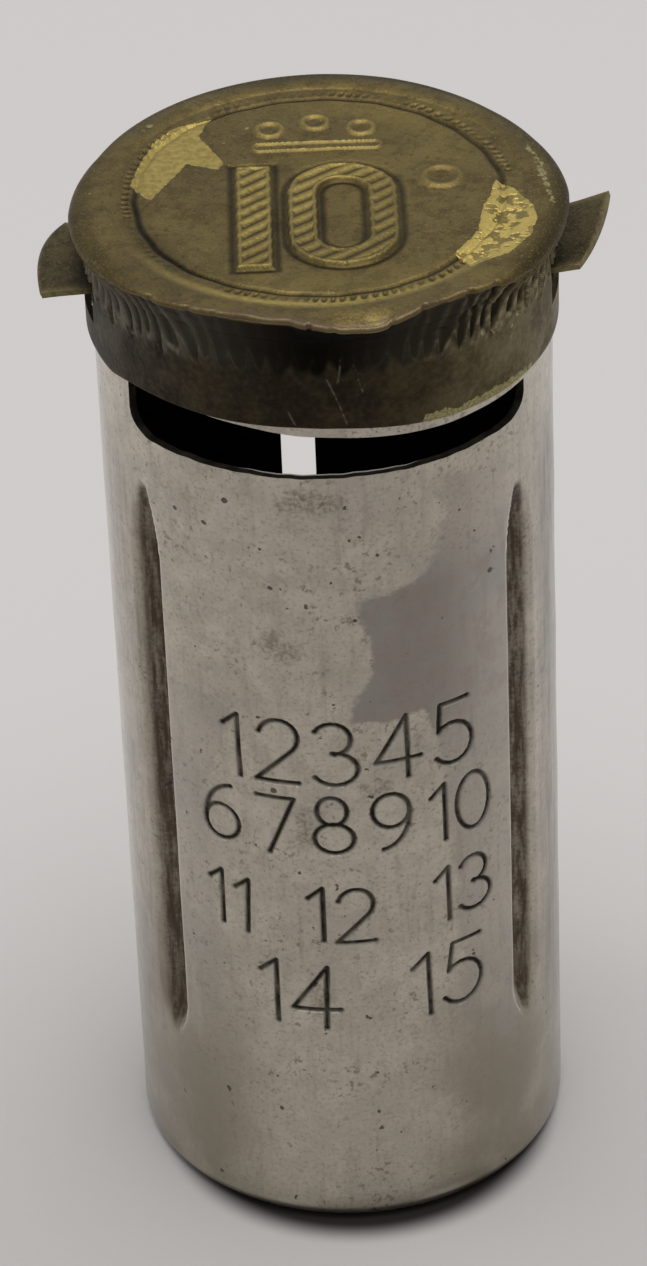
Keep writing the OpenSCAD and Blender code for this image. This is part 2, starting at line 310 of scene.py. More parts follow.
def points_of(piece):
    co = np.zeros(len(piece.data.vertices) * 3, np.float32)
    piece.data.vertices.foreach_get("co", co)
    return co.reshape(-1, 3).astype(float) / MM


def store(piece, **marks):
    """Keeps one value per point under each mark's name."""
    for name, values in marks.items():
        layer = piece.data.attributes.new(name, "FLOAT", "POINT")
        layer.data.foreach_set("value", np.asarray(values, np.float32))


def smooth(piece, sharp_degrees=35):
    piece.data.shade_smooth()
    piece.data.set_sharp_from_angle(angle=math.radians(sharp_degrees))


# %% [markdown]
# ## Cutting openings
# Slots and windows are punched through the sheet. A Boolean modifier is the direct way to do that:
# each punch is a closed block a little thicker than the wall, and the modifier is applied at once.
# %% Punches
def block(name, low, high):
    """A closed block between two corners."""
    xs, ys, zs = zip(low, high)
    points = [(x, y, z) for z in zs for y in ys for x in xs]
    faces = np.array([(0, 2, 3, 1), (4, 5, 7, 6), (0, 1, 5, 4), (2, 6, 7, 3), (0, 4, 6, 2), (1, 3, 7, 5)])
    return mesh_object(name, points, [faces])


def face_outwards(piece):
    bm = bmesh.new()
    bm.from_mesh(piece.data)
    bmesh.ops.recalc_face_normals(bm, faces=bm.faces)
    bm.to_mesh(piece.data)
    bm.free()


def combine(piece, others, operation="DIFFERENCE"):
    """Applies one Boolean per other object, and removes the other objects."""
    for other in others:
        face_outwards(other)
        modifier = piece.modifiers.new("punch", "BOOLEAN")
        modifier.object = other
        modifier.operation = operation
        modifier.solver = "MANIFOLD"
    graph = bpy.context.evaluated_depsgraph_get()
    worked = bpy.data.meshes.new_from_object(piece.evaluated_get(graph))
    piece.modifiers.clear()
    piece.data = worked
    for other in others:
        bpy.data.objects.remove(other)


# %% [markdown]
# ## Uneven sheet metal
# Hand-worked sheet is never quite true. A sum of a few sine waves with seeded phases gives a smooth,
# repeatable unevenness. It closes on itself round the tube, because each wave fits a whole number of times.
# %% Unevenness
def ripple(angle, height, size, round_counts, along_mm, seed):
    """Smooth unevenness of about plus or minus size, over angle in radians and height in millimetres."""
    draw = np.random.default_rng(seed)
    total = 0 * (angle + height)
    for count in round_counts:
        phase, lean = draw.uniform(0, 2 * math.pi, 2)
        wave = 2 * math.pi / along_mm * draw.uniform(0.6, 1.4)
        total = total + np.sin(count * angle + phase) * np.sin(wave * height + lean)
    return total * size / math.sqrt(len(round_counts))


def ease(t):
    t = np.clip(t, 0, 1)
    return t * t * (3 - 2 * t)


# %% [markdown]
# ## Distances to outlines
# Stains, flaked spots and pressed figures all start from a drawn outline. An image could hold them,
# but a distance does more: it says how far inside an outline a point lies, so one outline gives an edge
# as soft as is wanted.
# %% Distances
def capsule_gap(x, y, x0, x1, y0, y1, r):
    """Signed distance to a round-ended bar between two points, less than 0 inside."""
    along = np.clip(((x - x0) * (x1 - x0) + (y - y0) * (y1 - y0)) / ((x1 - x0) ** 2 + (y1 - y0) ** 2), 0, 1)
    return np.hypot(x - x0 - along * (x1 - x0), y - y0 - along * (y1 - y0)) - r


def outline_depth(x, y, outline):
    """Signed distance inside a closed outline: more than 0 inside, in millimetres."""
    best = np.full(x.shape, 99.0)
    inside = np.zeros(x.shape, bool)
    corners = np.array(outline, float)
    for a, b in zip(corners, np.roll(corners, -1, axis=0)):
        best = np.minimum(best, capsule_gap(x, y, a[0], b[0], a[1], b[1], 0))
        crosses = (a[1] > y) != (b[1] > y)
        inside ^= crosses & (x < (b[0] - a[0]) * (y - a[1]) / (b[1] - a[1] + 1e-12) + a[0])
    return np.where(inside, best, -best)


def deepest(x, y, outlines):
    return np.max([outline_depth(x, y, outline) for outline in outlines], axis=0)


def within(depth, blend):
    """From 0 outside an outline to 1 inside it, over a blend of some width."""
    return np.clip(0.5 + depth / blend, 0, 1)


def line_at(value, middle, half_width):
    """A soft line: 1 where the value is at the middle, and 0 past the half width."""
    return ease(1 - np.abs(value - middle) / half_width)


square = [(0, 0), (4, 0), (4, 4), (0, 4)]
print("depth of a point 1 mm inside a square:", outline_depth(np.array([1.0]), np.array([2.0]), square))

# %% [markdown]
# ## Punched numbers
# The front of the tube carries rows of thin figures, punched one stroke at a time.
# A font would be too even. Each digit is a few lines and arcs in a box one unit high,
# and the wall is pressed in wherever a point lies close to one of those strokes.
# %% Digits as strokes
def bow(cx, cy, rx, ry, start, end, steps=12):
    turn = np.radians(np.linspace(start, end, steps + 1))
    return np.column_stack([cx + rx * np.cos(turn), cy + ry * np.sin(turn)])


def line(*points):
    return np.array(points, float)


def six():
    return [bow(0.52, 0.32, 0.5, 0.66, 97, 180), bow(0.3, 0.3, 0.28, 0.3, 0, 360, 20)]


DIGITS = {
    "0": [bow(0.3, 0.5, 0.29, 0.5, 0, 360, 24)],
    "1": [line((0.1, 0.8), (0.32, 1), (0.32, 0))],
    "2": [np.vstack([bow(0.3, 0.71, 0.27, 0.29, 165, -38), line((0.02, 0), (0.6, 0))])],
    "3": [bow(0.27, 0.75, 0.25, 0.25, 150, -85), bow(0.27, 0.26, 0.31, 0.26, 92, -150)],
    "4": [line((0.44, 0), (0.44, 1), (0, 0.3), (0.62, 0.3))],
    "5": [np.vstack([line((0.54, 1), (0.12, 1), (0.07, 0.56)), bow(0.27, 0.33, 0.31, 0.33, 118, -145)])],
    "6": six(),
    "7": [line((0.02, 1), (0.58, 1), (0.2, 0))],
    "8": [bow(0.3, 0.75, 0.22, 0.25, 0, 360, 20), bow(0.3, 0.26, 0.29, 0.26, 0, 360, 20)],
    "9": [np.array([0.6, 1.0]) - stroke for stroke in six()],
}
ROWS = [("1 2 3 4 5", 28.1, 31.8, -31, 36), ("6 7 8 9 10", 23.7, 27.1, -38, 41),
        ("11 12 13", 18.5, 21.8, -38, 41), ("14 15", 12.9, 16.8, -24, 37)]
DIGIT_GAP = 0.2
STROKE = 0.25
STROKE_DEPTH = 0.12
STROKE_EDGE = 0.12
END_DOT = 0.15


def digit_span(digit):
    across = np.concatenate([stroke[:, 0] for stroke in DIGITS[digit]])
    return across.min(), across.max()


def number_width(number):
    spans = [digit_span(d) for d in number]
    return sum(right - left for left, right in spans) + DIGIT_GAP * (len(number) - 1)


def place_digits():
    """Every stroke on the unrolled wall, in millimetres: sideways from the front, and up."""
    draw = np.random.default_rng(4)
    placed = []
    for text, low, high, left, right in ROWS:
        numbers = text.split()
        tall = high - low
        pen, end = (math.radians(v) * TUBE_R for v in (left, right))
        gap = (end - pen - sum(number_width(n) for n in numbers) * tall) / (len(numbers) - 1)
        for number in numbers:
            for digit in number:
                start, stop = digit_span(digit)
                lean, nudge = draw.normal(0, 0.03), draw.normal(0, 0.1)
                for stroke in DIGITS[digit]:
                    side = pen + (stroke[:, 0] - start + lean * stroke[:, 1]) * tall
                    placed.append(np.column_stack([side, low + nudge + stroke[:, 1] * tall]))
                pen += (stop - start + DIGIT_GAP) * tall
            pen += gap - DIGIT_GAP * tall
    return placed


STROKES = place_digits()
print(len(STROKES), "strokes, the widest reach", round(max(s[:, 0].max() for s in STROKES), 1), "mm")


# %% Distance to the strokes
def stroke_press(side, height):
    """How far the wall is pressed in, from 0 to 1, at points on the unrolled wall."""
    side, height = np.broadcast_arrays(side, height)
    press = np.zeros(side.shape)
    margin = 0.6
    for stroke in STROKES:
        near = ((side > stroke[:, 0].min() - margin) & (side < stroke[:, 0].max() + margin)
                & (height > stroke[:, 1].min() - margin) & (height < stroke[:, 1].max() + margin))
        p = np.column_stack([side[near], height[near]])
        best = np.full(len(p), 9.0)
        for a, b in zip(stroke[:-1], stroke[1:]):
            along = np.clip((p - a) @ (b - a) / max((b - a) @ (b - a), 1e-9), 0, 1)
            best = np.minimum(best, np.linalg.norm(p - a - along[:, None] * (b - a), axis=1))
        for end in (stroke[0], stroke[-1]):
            best = np.minimum(best, np.linalg.norm(p - end, axis=1) - END_DOT + STROKE / 2)
        press[near] = np.maximum(press[near], 1 - ease((best - STROKE / 2) / STROKE_EDGE + 0.5))
    return press


# %% [markdown]
# ## Tube
# The tube is drawn brass, nickel plated. Four flutes are pressed in along it, so that dimes stay in one
# stack, and each runs out to a point at both ends, sharp on its inner side and soft on its outer one.
# A row of FLUTES gives the middle in degrees, the heights of the top and the bottom, the upper point's
# length, where outside the middle the dirt lies and how wide it is, and how far outside the stain runs.
# The tube's profile is a closed loop: mouth, outside, rounded foot, turned-in edge, then the inside again.
# %% Flutes
FLUTES = [(-53, 43.4, 9.4, 4.4, 0.66, 1.35, 2.6), (53, 42.6, 9.6, 4.0, 0.76, 1.0, 4.3),
          (127, 42.8, 10.2, 3.4, 0.65, 1.0, 2.8), (-127, 42.8, 10.2, 3.4, 0.65, 1.0, 2.8)]
LOWER_POINT = 2.2
FLUTE_DEPTH = 1.05
FLUTE_INNER = 0.75
FLUTE_OUTER = 1.7
POINT_SHIFT = 0.2


def flute_fields(angle, height):
    """The flutes' depth in millimetres, and from 0 to 1 their dirt, a painted highlight on the inner edge
    (partly worn plate) and stain.
    """
    depth, dirt, edge, stain = (0 * (angle + height) for _ in range(4))
    for middle, top, bottom, point, dirt_at, dirt_width, stain_at in FLUTES:
        full = np.sqrt(ease((height - bottom) / LOWER_POINT) * ease((top - height) / point))
        outward = math.copysign(1, middle) * (1 if abs(middle) < 90 else -1)
        across = (angle - math.radians(middle)) * TUBE_R * outward - POINT_SHIFT * (1 - full)
        near, far = FLUTE_INNER * (0.2 + 0.8 * full), FLUTE_OUTER * (0.25 + 0.75 * full)
        beside = ease((height - bottom + 4) / 5) * ease((top + 4 - height) / 5)
        inner = 1 - (1 - np.clip(1 + across / near, 0, 1)) ** 2
        shape = np.where(across < 0, inner, ease(1 - across / far))
        depth = np.maximum(depth, FLUTE_DEPTH * full * shape)
        off_dirt = np.abs(across - dirt_at * (0.15 + 0.85 * full)) / (0.35 + 0.65 * full)
        dirt = np.maximum(dirt, ease((0.56 - off_dirt / dirt_width) / 0.34) * ease(full / 0.3))
        # painted highlight along the flute's inner edge, partly worn plate
        edge = np.maximum(edge, line_at(across, -near, 0.15) * ease(full / 0.5))
        stain = np.maximum(stain, ease(1.3 - np.abs(across - stain_at) / 2.4) * beside)
    return depth, dirt, edge, stain


# %% Tube profile and columns
def spread(*stops):
    """Places from a list of (start, end, spacing) stretches, without repeats."""
    parts = [np.arange(a, b - spacing / 4, spacing) for a, b, spacing in stops]
    return np.concatenate([*parts, [stops[-1][1]]])


FINE = 0.075
COARSE = 0.28
FRONT = 68.0
deg_per_mm = math.degrees(1 / TUBE_R)
columns = np.radians(spread((-180, -FRONT, COARSE * deg_per_mm), (-FRONT, FRONT, FINE * deg_per_mm),
                            (FRONT, 180, COARSE * deg_per_mm))[:-1])
FOOT_ROUND = 0.8
RIM_LINE_Z = 0.3
LIP_R = 9.6
LIP_H = 0.4


def tube_profile():
    """Rows of (radius, height, share of the outside's work, share of the flutes), down and back up."""
    down = spread((FOOT_ROUND + 0.1, 12, 0.3), (12, 32.5, FINE), (32.5, TUBE_TOP - 0.06, 0.2))[::-1]
    turned = np.radians(np.linspace(0, -90, 13))
    up = spread((0.9, TUBE_TOP - 0.06, 0.4))
    rows = [(BORE_R + 0.06, TUBE_TOP, 0, 0), (TUBE_R - 0.06, TUBE_TOP, 0, 0)]
    rows += [(TUBE_R, z, 1, 1) for z in down]
    rows += [(TUBE_R - FOOT_ROUND * (1 - math.cos(t)), FOOT_ROUND * (1 + math.sin(t)), 0, 0) for t in turned]
    rows += [(LIP_R, 0, 0, 0), (LIP_R, LIP_H, 0, 0), (BORE_R - 0.3, LIP_H, 0, 0),
             (BORE_R, LIP_H + 0.3, 0, 0)]
    rows += [(BORE_R, z, 0, 1) for z in up]
    return np.array(rows)


def make_tube():
    rows = tube_profile()
    radius, height, worked, fluted = (rows[:, c][:, None] for c in range(4))
    angle = columns[None, :]
    dents = np.abs(ripple(angle, height, 0.03, (2, 3, 5, 7, 9, 12), 17, 11)) * fluted
    radius = radius - flute_fields(angle, height)[0] * fluted - dents
    front = worked * (np.abs(angle) < math.radians(FRONT - 4))
    radius = radius - STROKE_DEPTH * stroke_press(angle * TUBE_R, height) * front
    points = round_points(angle + 0 * radius, radius, height)
    return mesh_object("nickel_tube", points, [grid_faces(len(rows), len(columns), rows_close=True)])


tube = make_tube()
print("tube:", len(tube.data.vertices), "points")

# %% [markdown]
# ## Openings of the tube
# The coin slot runs a third of the way round under the cap, with round lower corners and a ragged lip.
# Its punch is a ribbon bent round the axis. The gauge slit at the back, which shows how far the coins
# reach, and the four small openings for the latches are straight blocks.
# %% Slot and slit
SLOT_HALF = math.radians(57.8)
SLOT_LOW = 46.1
SLOT_TOP = [(-58, 49.2), (-50, 49.1), (-32, 48.95), (-19, 48.74), (-7, 48.5), (3, 48.36), (18, 48.08),
            (31, 47.94), (58, 47.9)]
SLOT_CORNER = (1.7, 1.15)
SLIT_X = -1.5
SLIT_W = 1.73
SLIT_Z = (5.0, 43.5)
SOFTENING = (-1.2, -0.6, 0, 0.6, 1.2)
LATCH_OPENINGS = [("nose_punch", 1.8, 49.2, 50.25), ("notch_punch", 3.15, 50.7, TUBE_TOP + 1)]


def round_table(angle, table, column=1):
    """Values from a table of places in degrees, with the turns between them softened."""
    stops = np.array(table, float)
    places = np.degrees(angle)
    read = [np.interp(places + soft, stops[:, 0], stops[:, column]) for soft in SOFTENING]
    return sum(read) / len(SOFTENING)


def slot_punch():
    turn = np.linspace(-SLOT_HALF, SLOT_HALF, 221)
    wide, tall = SLOT_CORNER
    into = np.clip(1 - (SLOT_HALF - np.abs(turn)) * TUBE_R / wide, 0, 1)
    low = SLOT_LOW + tall * (1 - np.sqrt(1 - into**2))
    low = low + ripple(turn, 0 * turn, 0.03, (9, 23, 41, 67), 5, 3)
    high = round_table(turn, SLOT_TOP) + ripple(turn, 0 * turn, 0.02, (7, 19), 5, 8)
    near, far = BORE_R - 2, TUBE_R + 1
    ring = [round_points(turn, r, z) for r, z in ((near, low), (far, low), (far, high), (near, high))]
    points = np.stack(ring, axis=1).reshape(-1, 3)
    ends = np.array([(3, 2, 1, 0), tuple(len(points) - 4 + k for k in range(4))])
    return mesh_object("slot_punch", points, [grid_faces(len(turn), 4), ends])


def slit_punch():
    half = SLIT_W / 2
    over = bow(SLIT_X, SLIT_Z[1] - half, half, half, 0, 180, 16)
    under = bow(SLIT_X, SLIT_Z[0] + half, half, half, 180, 360, 16)
    outline = np.vstack([over, under])
    layers = [np.column_stack([outline[:, 0], np.full(len(outline), y), outline[:, 1]])
              for y in (BORE_R - 3, TUBE_R + 1)]
    count = len(outline)
    ends = [np.arange(count)[None, ::-1], np.arange(count, 2 * count)[None, :]]
    return mesh_object("slit_punch", np.vstack(layers), [grid_faces(2, count), *ends])


def latch_punches():
    found = []
    for side in (-1, 1):
        near, far = sorted((side * (BORE_R - 1.5), side * (TUBE_R + 1)))
        for name, half, low, high in LATCH_OPENINGS:
            found.append(block(name, (near, -half, low), (far, half, high)))
    return found


combine(tube, [slot_punch(), slit_punch(), *latch_punches()])
smooth(tube, 40)
print("tube after punching:", len(tube.data.vertices), "points")


# %% Marks that the tube's finish follows
GREY_PATCHES = [
    [(5.5, 45), (5.4, 42.6), (5.0, 41.1), (3.9, 39.4), (2.4, 39.3), (1.1, 38.9), (1.1, 38), (1.6, 36.5),
     (1.6, 34.8), (0.9, 33.2), (0.4, 31.9), (2.4, 31.6), (4.2, 31.9), (5, 29), (5.2, 24), (5.8, 18), (6, 12),
     (9.7, 8), (9.7, 45)],
    [(-9.7, 32.5), (-6.3, 32.6), (-5.5, 31.8), (-5.9, 30), (-6.6, 28), (-7.2, 24), (-6.7, 18), (-6.9, 13),
     (-9.7, 9)],
]
SMUDGES = [
    [(-3.7, 37), (-3, 37.4), (-1.9, 36.4), (-1.8, 35.6), (-2.6, 35.3), (-3.5, 36)],
    [(-2.8, 44.6), (-1.7, 45.6), (0.6, 45), (0.7, 44.2), (-0.6, 44), (-2.7, 44.1)],
    [(1, 28), (2.3, 28.2), (2.6, 27.2), (1.2, 27)],
    [(-2.6, 26.4), (-1.6, 26.8), (-1.4, 24.6), (-2.2, 24.2)],
    [(-1.9, 15.6), (-1, 15.4), (-0.9, 13.8), (-1.8, 13.4)],
]
SPOTS = [(-5.2, 44.3, 0.17), (-3.1, 39.7, 0.12), (-1.4, 38.8, 0.12), (-3.4, 27.6, 0.16), (-3.8, 7.2, 0.12),
         (8.2, 38.5, 0.17), (-6.8, 7.4, 0.16), (-8.1, 42.9, 0.14), (-6.4, 42.7, 0.12), (-3.5, 41.9, 0.1),
         (1.2, 7.2, 0.09), (6, 6.2, 0.1), (0.9, 37.9, 0.09), (-4.6, 38.4, 0.08), (2.1, 41.5, 0.09)]


def mark_tube(piece):
    x, y, z = points_of(piece).T
    radius, angle = np.hypot(x, y), np.arctan2(x, -y)
    side = angle * TUBE_R
    depth, dirt, edge, stain = flute_fields(angle, z)
    outside = radius > TUBE_R - depth - 0.3
    front = (np.abs(angle) < math.radians(FRONT - 4)) & (radius > TUBE_R - 0.3)
    away = np.where(side > 0, side - 2.5, -0.75 * side - 2)
    spot = np.max([size - np.hypot(side - u, z - v) for u, v, size in SPOTS], axis=0)
    grey_blend = 1.2 + 1.6 * ease((z - 37) / 6) + 1.2 * ease((31 - z) / 4)
    right_share = (0.5 + 0.5 * ease((z - 29) / 3)) * (1 - 0.45 * ease((z - 39) / 3))
    # painted highlight: a thin bright line along the slot's lower inner edge
    burr = (radius < BORE_R + 0.06) & (np.abs(z - SLOT_LOW) < 0.2) & (np.abs(angle) < math.radians(30))
    store(piece,
          stroke=stroke_press(side, z) * front,
          flute=dirt * outside,
          flute_edge=edge * outside,
          stain=stain * outside * np.where(side < 0, 0.55, 1.0),
          low=ease((20 - z) / 14) * (0.15 + 0.85 * ease(away / 4.5)),
          # painted highlight: a thin light line along the foot's rounded edge
          foot=ease((RIM_LINE_Z + 0.09 - z) / 0.08) * outside,
          grey=within(deepest(side, z, GREY_PATCHES), grey_blend),
          grey_share=np.where(side > 0, right_share, 0.42),
          # painted sheen: the grey patches are painted lighter towards the sides, where the wall turns away
          sheen=ease((np.abs(side) - 4) / 5) * front,
          smudge=within(deepest(side, z, SMUDGES), 1.2),
          spot=within(spot, 0.2) * front,
          burr=burr * (0.65 + 0.35 * ease((30 - np.degrees(np.abs(angle))) / 16)))


def paint_inside(piece, slot_index):
    """Gives one material slot, painted near black as shade, to the inner wall, the punched edges and the
    underside of the foot.
    """
    count = len(piece.data.polygons)
    normal, centre = (np.zeros(count * 3, np.float32) for _ in range(2))
    piece.data.polygons.foreach_get("normal", normal)
    piece.data.polygons.foreach_get("center", centre)
    normal, centre = normal.reshape(-1, 3), centre.reshape(-1, 3) / MM
    radius = np.hypot(centre[:, 0], centre[:, 1])
    outward = (normal[:, 0] * centre[:, 0] + normal[:, 1] * centre[:, 1]) / radius
    inside = (outward < 0.2) & (centre[:, 2] < TUBE_TOP - 0.05)
    underside = (centre[:, 2] < RIM_LINE_Z) & (normal[:, 2] < -0.35)
    # these faces are painted near black as shade
    dull = inside | underside
    piece.data.polygons.foreach_set("material_index", np.where(dull, slot_index, 0).astype(np.int32))
    return int(dull.sum())


mark_tube(tube)
print("tube marked")

# %% [markdown]
# ## Worn nickel
# Old nickel plate is grey with a warm cast, satin rather than bright, and it wears in patches with a clear
# edge. One painted picture could show all that, but layers can be changed one by one and stay sharp
# from close by. Each layer is a share and a colour: two tones of plate, clouds, grains and flecks,
# the darker foot, the rubbed grey patches, painted lighter towards the sides as a painted sheen, streaks,
# smudges, and dirt in the flutes and the strokes. A painted highlight runs along each flute's inner edge,
# partly worn plate, and another along the rounded edge of the foot.
# A thin clear coat gives the satin shine of a handled surface, and dirt is left without it.
# The inside, the punched edges and the underside of the foot get a second, dull material, painted
# nearly black: painted shade, partly old grime.
# %% Nickel
def nickel_material():
    material, tree, shader = new_material("worn_nickel")
    at = coordinates(tree)
    streaks = noise(tree, coordinates(tree, (1, 1, 0.1)), 2.2, 5.0)
    brushed = noise(tree, coordinates(tree, (1, 1, 0.12)), 4.0, 4.0)
    mottle = noise(tree, at, 0.9, 6.0, 0.62)
    cloud = noise(tree, at, 0.22, 4.0, 0.55)
    speck = noise(tree, at, 5.0, 3.0, 0.6)
    broken = times(tree, maths(tree, "SUBTRACT", noise(tree, at, 1.0, 5.0, 0.65), 0.5), 0.9)

    def edged(name, low, high):
        return step(tree, maths(tree, "ADD", attribute(tree, name), broken), low, high)

    crowd = step(tree, noise(tree, at, 0.35, 2.0), 0.45, 0.6)
    flecks = times(tree, step(tree, noise(tree, at, 2.6, 3.0, 0.6), 0.58, 0.66), crowd)
    low = times(tree, attribute(tree, "low"), step(tree, cloud, 0.3, 0.6, 0.5, 0.95))
    grey = times(tree, edged("grey", 0.38, 0.66), attribute(tree, "grey_share", 0.88))
    rubbed_grey = layered(tree, (0.26, 0.228, 0.2), [
        # painted sheen: lighter towards the sides
        (attribute(tree, "sheen"), (0.42, 0.39, 0.35)),
        (step(tree, cloud, 0.4, 0.6, 0, 0.55), (0.31, 0.31, 0.285)),
        (step(tree, mottle, 0.45, 0.65, 0, 0.5), (0.27, 0.215, 0.18)),
    ])
    smear = times(tree, edged("smudge", 0.25, 0.8), step(tree, speck, 0.35, 0.6, 0.2, 0.6))
    stain = times(tree, attribute(tree, "stain"), step(tree, streaks, 0.35, 0.65, 0.6, 1.0))
    grime = maths(tree, "ADD", brushed, times(tree, speck, 0.4))
    grime = times(tree, attribute(tree, "flute"), step(tree, grime, 0.45, 0.85, 0.6, 1))
    pits = step(tree, noise(tree, at, 1.7, 3.0, 0.5), 0.72, 0.745)
    pits = maths(tree, "MAXIMUM", pits, edged("spot", 0.35, 0.5))
    ink = times(tree, attribute(tree, "stroke"), step(tree, mottle, 0.3, 0.6, 0.75, 1))
    colour = layered(tree, (0.5, 0.457, 0.373), [
        (step(tree, mottle, 0.3, 0.7), (0.61, 0.56, 0.46)),
        (step(tree, cloud, 0.46, 0.6, 0, 0.5), (0.44, 0.405, 0.35)),
        (step(tree, speck, 0.5, 0.72, 0, 0.65), (0.32, 0.28, 0.215)),
        (step(tree, speck, 0.42, 0.28, 0, 0.5), (0.66, 0.61, 0.54)),
        (times(tree, flecks, 0.65), (0.17, 0.145, 0.1)),
        (low, (0.27, 0.235, 0.17)),
        (grey, rubbed_grey),
        (step(tree, streaks, 0.5, 0.78, 0, 0.35), (0.25, 0.22, 0.18)),
        (smear, (0.2, 0.172, 0.125)),
        (stain, (0.18, 0.15, 0.105)),
        (grime, (0.062, 0.043, 0.022)),
        # painted highlight along each flute's inner edge, partly worn plate
        (attribute(tree, "flute_edge"), (0.8, 0.77, 0.72)),
        # painted highlight along the foot's rounded edge
        (attribute(tree, "foot", 0.55), (0.62, 0.59, 0.54)),
        (times(tree, pits, 0.85), (0.04, 0.03, 0.022)),
        (ink, (0.022, 0.015, 0.009)),
    ])
    rough = maths(tree, "SUBTRACT", step(tree, mottle, 0.3, 0.7, 0.46, 0.36), times(tree, grey, 0.08))
    rough = maths(tree, "ADD", rough, times(tree, ink, 0.3))
    grain = maths(tree, "ADD", times(tree, speck, 0.6), times(tree, streaks, 0.7))
    grain = maths(tree, "SUBTRACT", grain, times(tree, pits, 1.5))
    set_finish(tree, shader, colour, rough, grain, 0.014)
    dirty = maths(tree, "MAXIMUM", ink, times(tree, grime, 0.5))
    plug(tree, shader.inputs["Coat Weight"], maths(tree, "SUBTRACT", 0.8, times(tree, dirty, 0.7)))
    shader.inputs["Coat Roughness"].default_value = 0.2
    return material


def dull_inside_material():
    """Near-black painted shade with a little old grime, and a painted highlight along the slot's lower inner
    edge.
    """
    material, tree, shader = new_material("dull_inside", metallic=0.0)
    at = coordinates(tree)
    film = noise(tree, at, 1.5, 4.0)
    # near-black painted shade, mottled a little
    colour = layered(tree, (0.012, 0.01, 0.008), [
        (step(tree, film, 0.35, 0.65), (0.03, 0.025, 0.019)),
        # painted highlight along the slot's lower inner edge
        (step(tree, attribute(tree, "burr"), 0.7, 0.85), (0.55, 0.52, 0.47)),
    ])
    set_finish(tree, shader, colour, step(tree, film, 0.3, 0.7, 0.75, 0.95), noise(tree, at, 6.0, 3.0), 0.01)
    shader.inputs["Specular IOR Level"].default_value = 0.05
    return material


nickel = nickel_material()
dull_inside = dull_inside_material()
tube.data.materials.clear()
tube.data.materials.append(nickel)
tube.data.materials.append(dull_inside)
print("dull faces:", paint_inside(tube, 1))
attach(tube, "tube")
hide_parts("tube_body")
print("tube finished with", nickel.name, "and", dull_inside.name)

# %% [markdown]
# ## Cap
# The cap is one pressed brass sheet: an embossed panel, a ring of small dashes, a raised band, a thin lip,
# a waist crimped in many small pleats, painted dark as the shade under the lip, and a skirt over the tube's
# mouth.
# As with the tube the profile is one line, here from the middle of the panel out, down and back inside.
# Heights and radii change round the rim: it is slightly out of round, crisp and wavy in front and soft
# elsewhere. A random wave wouldn't look dented by use, so tables hold that, in degrees from the front:
# LIP gives the lip's radius and height, NICKS a half width and a depth, and BEAD the lip's roundness.
# Whatever the working does, the outside stays clear of the liner's flange that sits under the rim.
# The windows' tops are a little above the solid's, so that the swung ears clear them.
# %% Cap sizes
RING_R = 9.1
WAIST_R = 11.02
WAIST_Z = 53.1
SHOULDER_Z = 52.15
WINDOW_HALF = 3.3
WINDOW_Z = (50.3, 52.3)
DEEPEST_R = 10.96
LINER_Z = 53.7
LINER_STEP = 0.19
LIP_LEAST = 11.27
PLEATS = 88
PLEAT_LEAN = -5.0
LIP = [(-180, 11.74, 54.26), (-150, 11.7, 54.25), (-128, 11.62, 54.25), (-114, 11.54, 54.26),
       (-100, 11.72, 54.3), (-88, 11.86, 54.33), (-75, 11.84, 54.35), (-62, 11.77, 54.5),
       (-48, 11.77, 54.82), (-38, 11.67, 54.88), (-30, 11.42, 54.9), (-24, 11.28, 54.9),
       (-17, 11.12, 54.9), (-12.5, 11.27, 54.9), (-9.3, 11.13, 54.9), (-5.5, 11.58, 54.88),
       (-1, 11.76, 54.82), (4, 11.77, 54.66), (9, 11.77, 54.52), (13, 11.77, 54.54), (18, 11.73, 54.82),
       (22, 11.6, 54.9), (26, 11.3, 54.9),
       (34, 11.35, 54.88), (41, 11.6, 54.8), (47, 11.75, 54.62), (56, 11.77, 54.4), (72, 11.84, 54.35),
       (90, 11.86, 54.33), (102, 11.72, 54.3), (114, 11.58, 54.26), (132, 11.52, 54.25), (146, 11.6, 54.25),
       (160, 11.7, 54.26), (180, 11.74, 54.26)]
NICKS = [(-43, 1.2, 0.1), (-33, 1.6, 0.12), (-26.5, 1.0, 0.1), (-20, 1.3, 0.12), (-9.6, 1.3, 0.2),
         (-3.4, 1.0, 0.16), (2.2, 1.4, 0.1), (15.5, 1.2, 0.1), (24, 1.3, 0.14), (29, 1.1, 0.16),
         (37, 1.5, 0.14), (44, 1.0, 0.1)]
BEAD = [(-180, 0.6), (-80, 0.6), (-62, 0.42), (-46, 0.16), (42, 0.16), (50, 0.4), (62, 0.6), (180, 0.6)]
THIN_BEAD = 0.16
SKIRT_EDGE = [(-180, 48.95), (-110, 48.9), (-73, 48.8), (-63, 48.7), (-54, 49.03), (-46, 49.1), (-7, 49.14),
              (3, 49.05), (17, 48.75), (30, 48.5), (45, 48.4), (70, 48.4), (110, 48.7), (180, 48.95)]


def least_radius(height):
    """The cap's outside never goes deeper than this, so that the liner's flange stays covered."""
    return DEEPEST_R + LINER_STEP * ease((height - LINER_Z) / 0.2)


def around(angle, middle_deg, half_width_deg):
    """A smooth bump round the cap, 1 at its middle and 0 past its half width."""
    off = np.abs((np.degrees(angle) - middle_deg + 180) % 360 - 180)
    return ease(1 - off / half_width_deg)


LEAST_CRIMP = 0.2


def crimped(angle):
    """How strongly the wall under the rim is crimped: most at the two sides of the front."""
    sides = around(angle, -62, 46) + around(angle, 57, 38)
    return np.clip(LEAST_CRIMP + sides + 0.55 * around(angle, 180, 118), 0, 1)


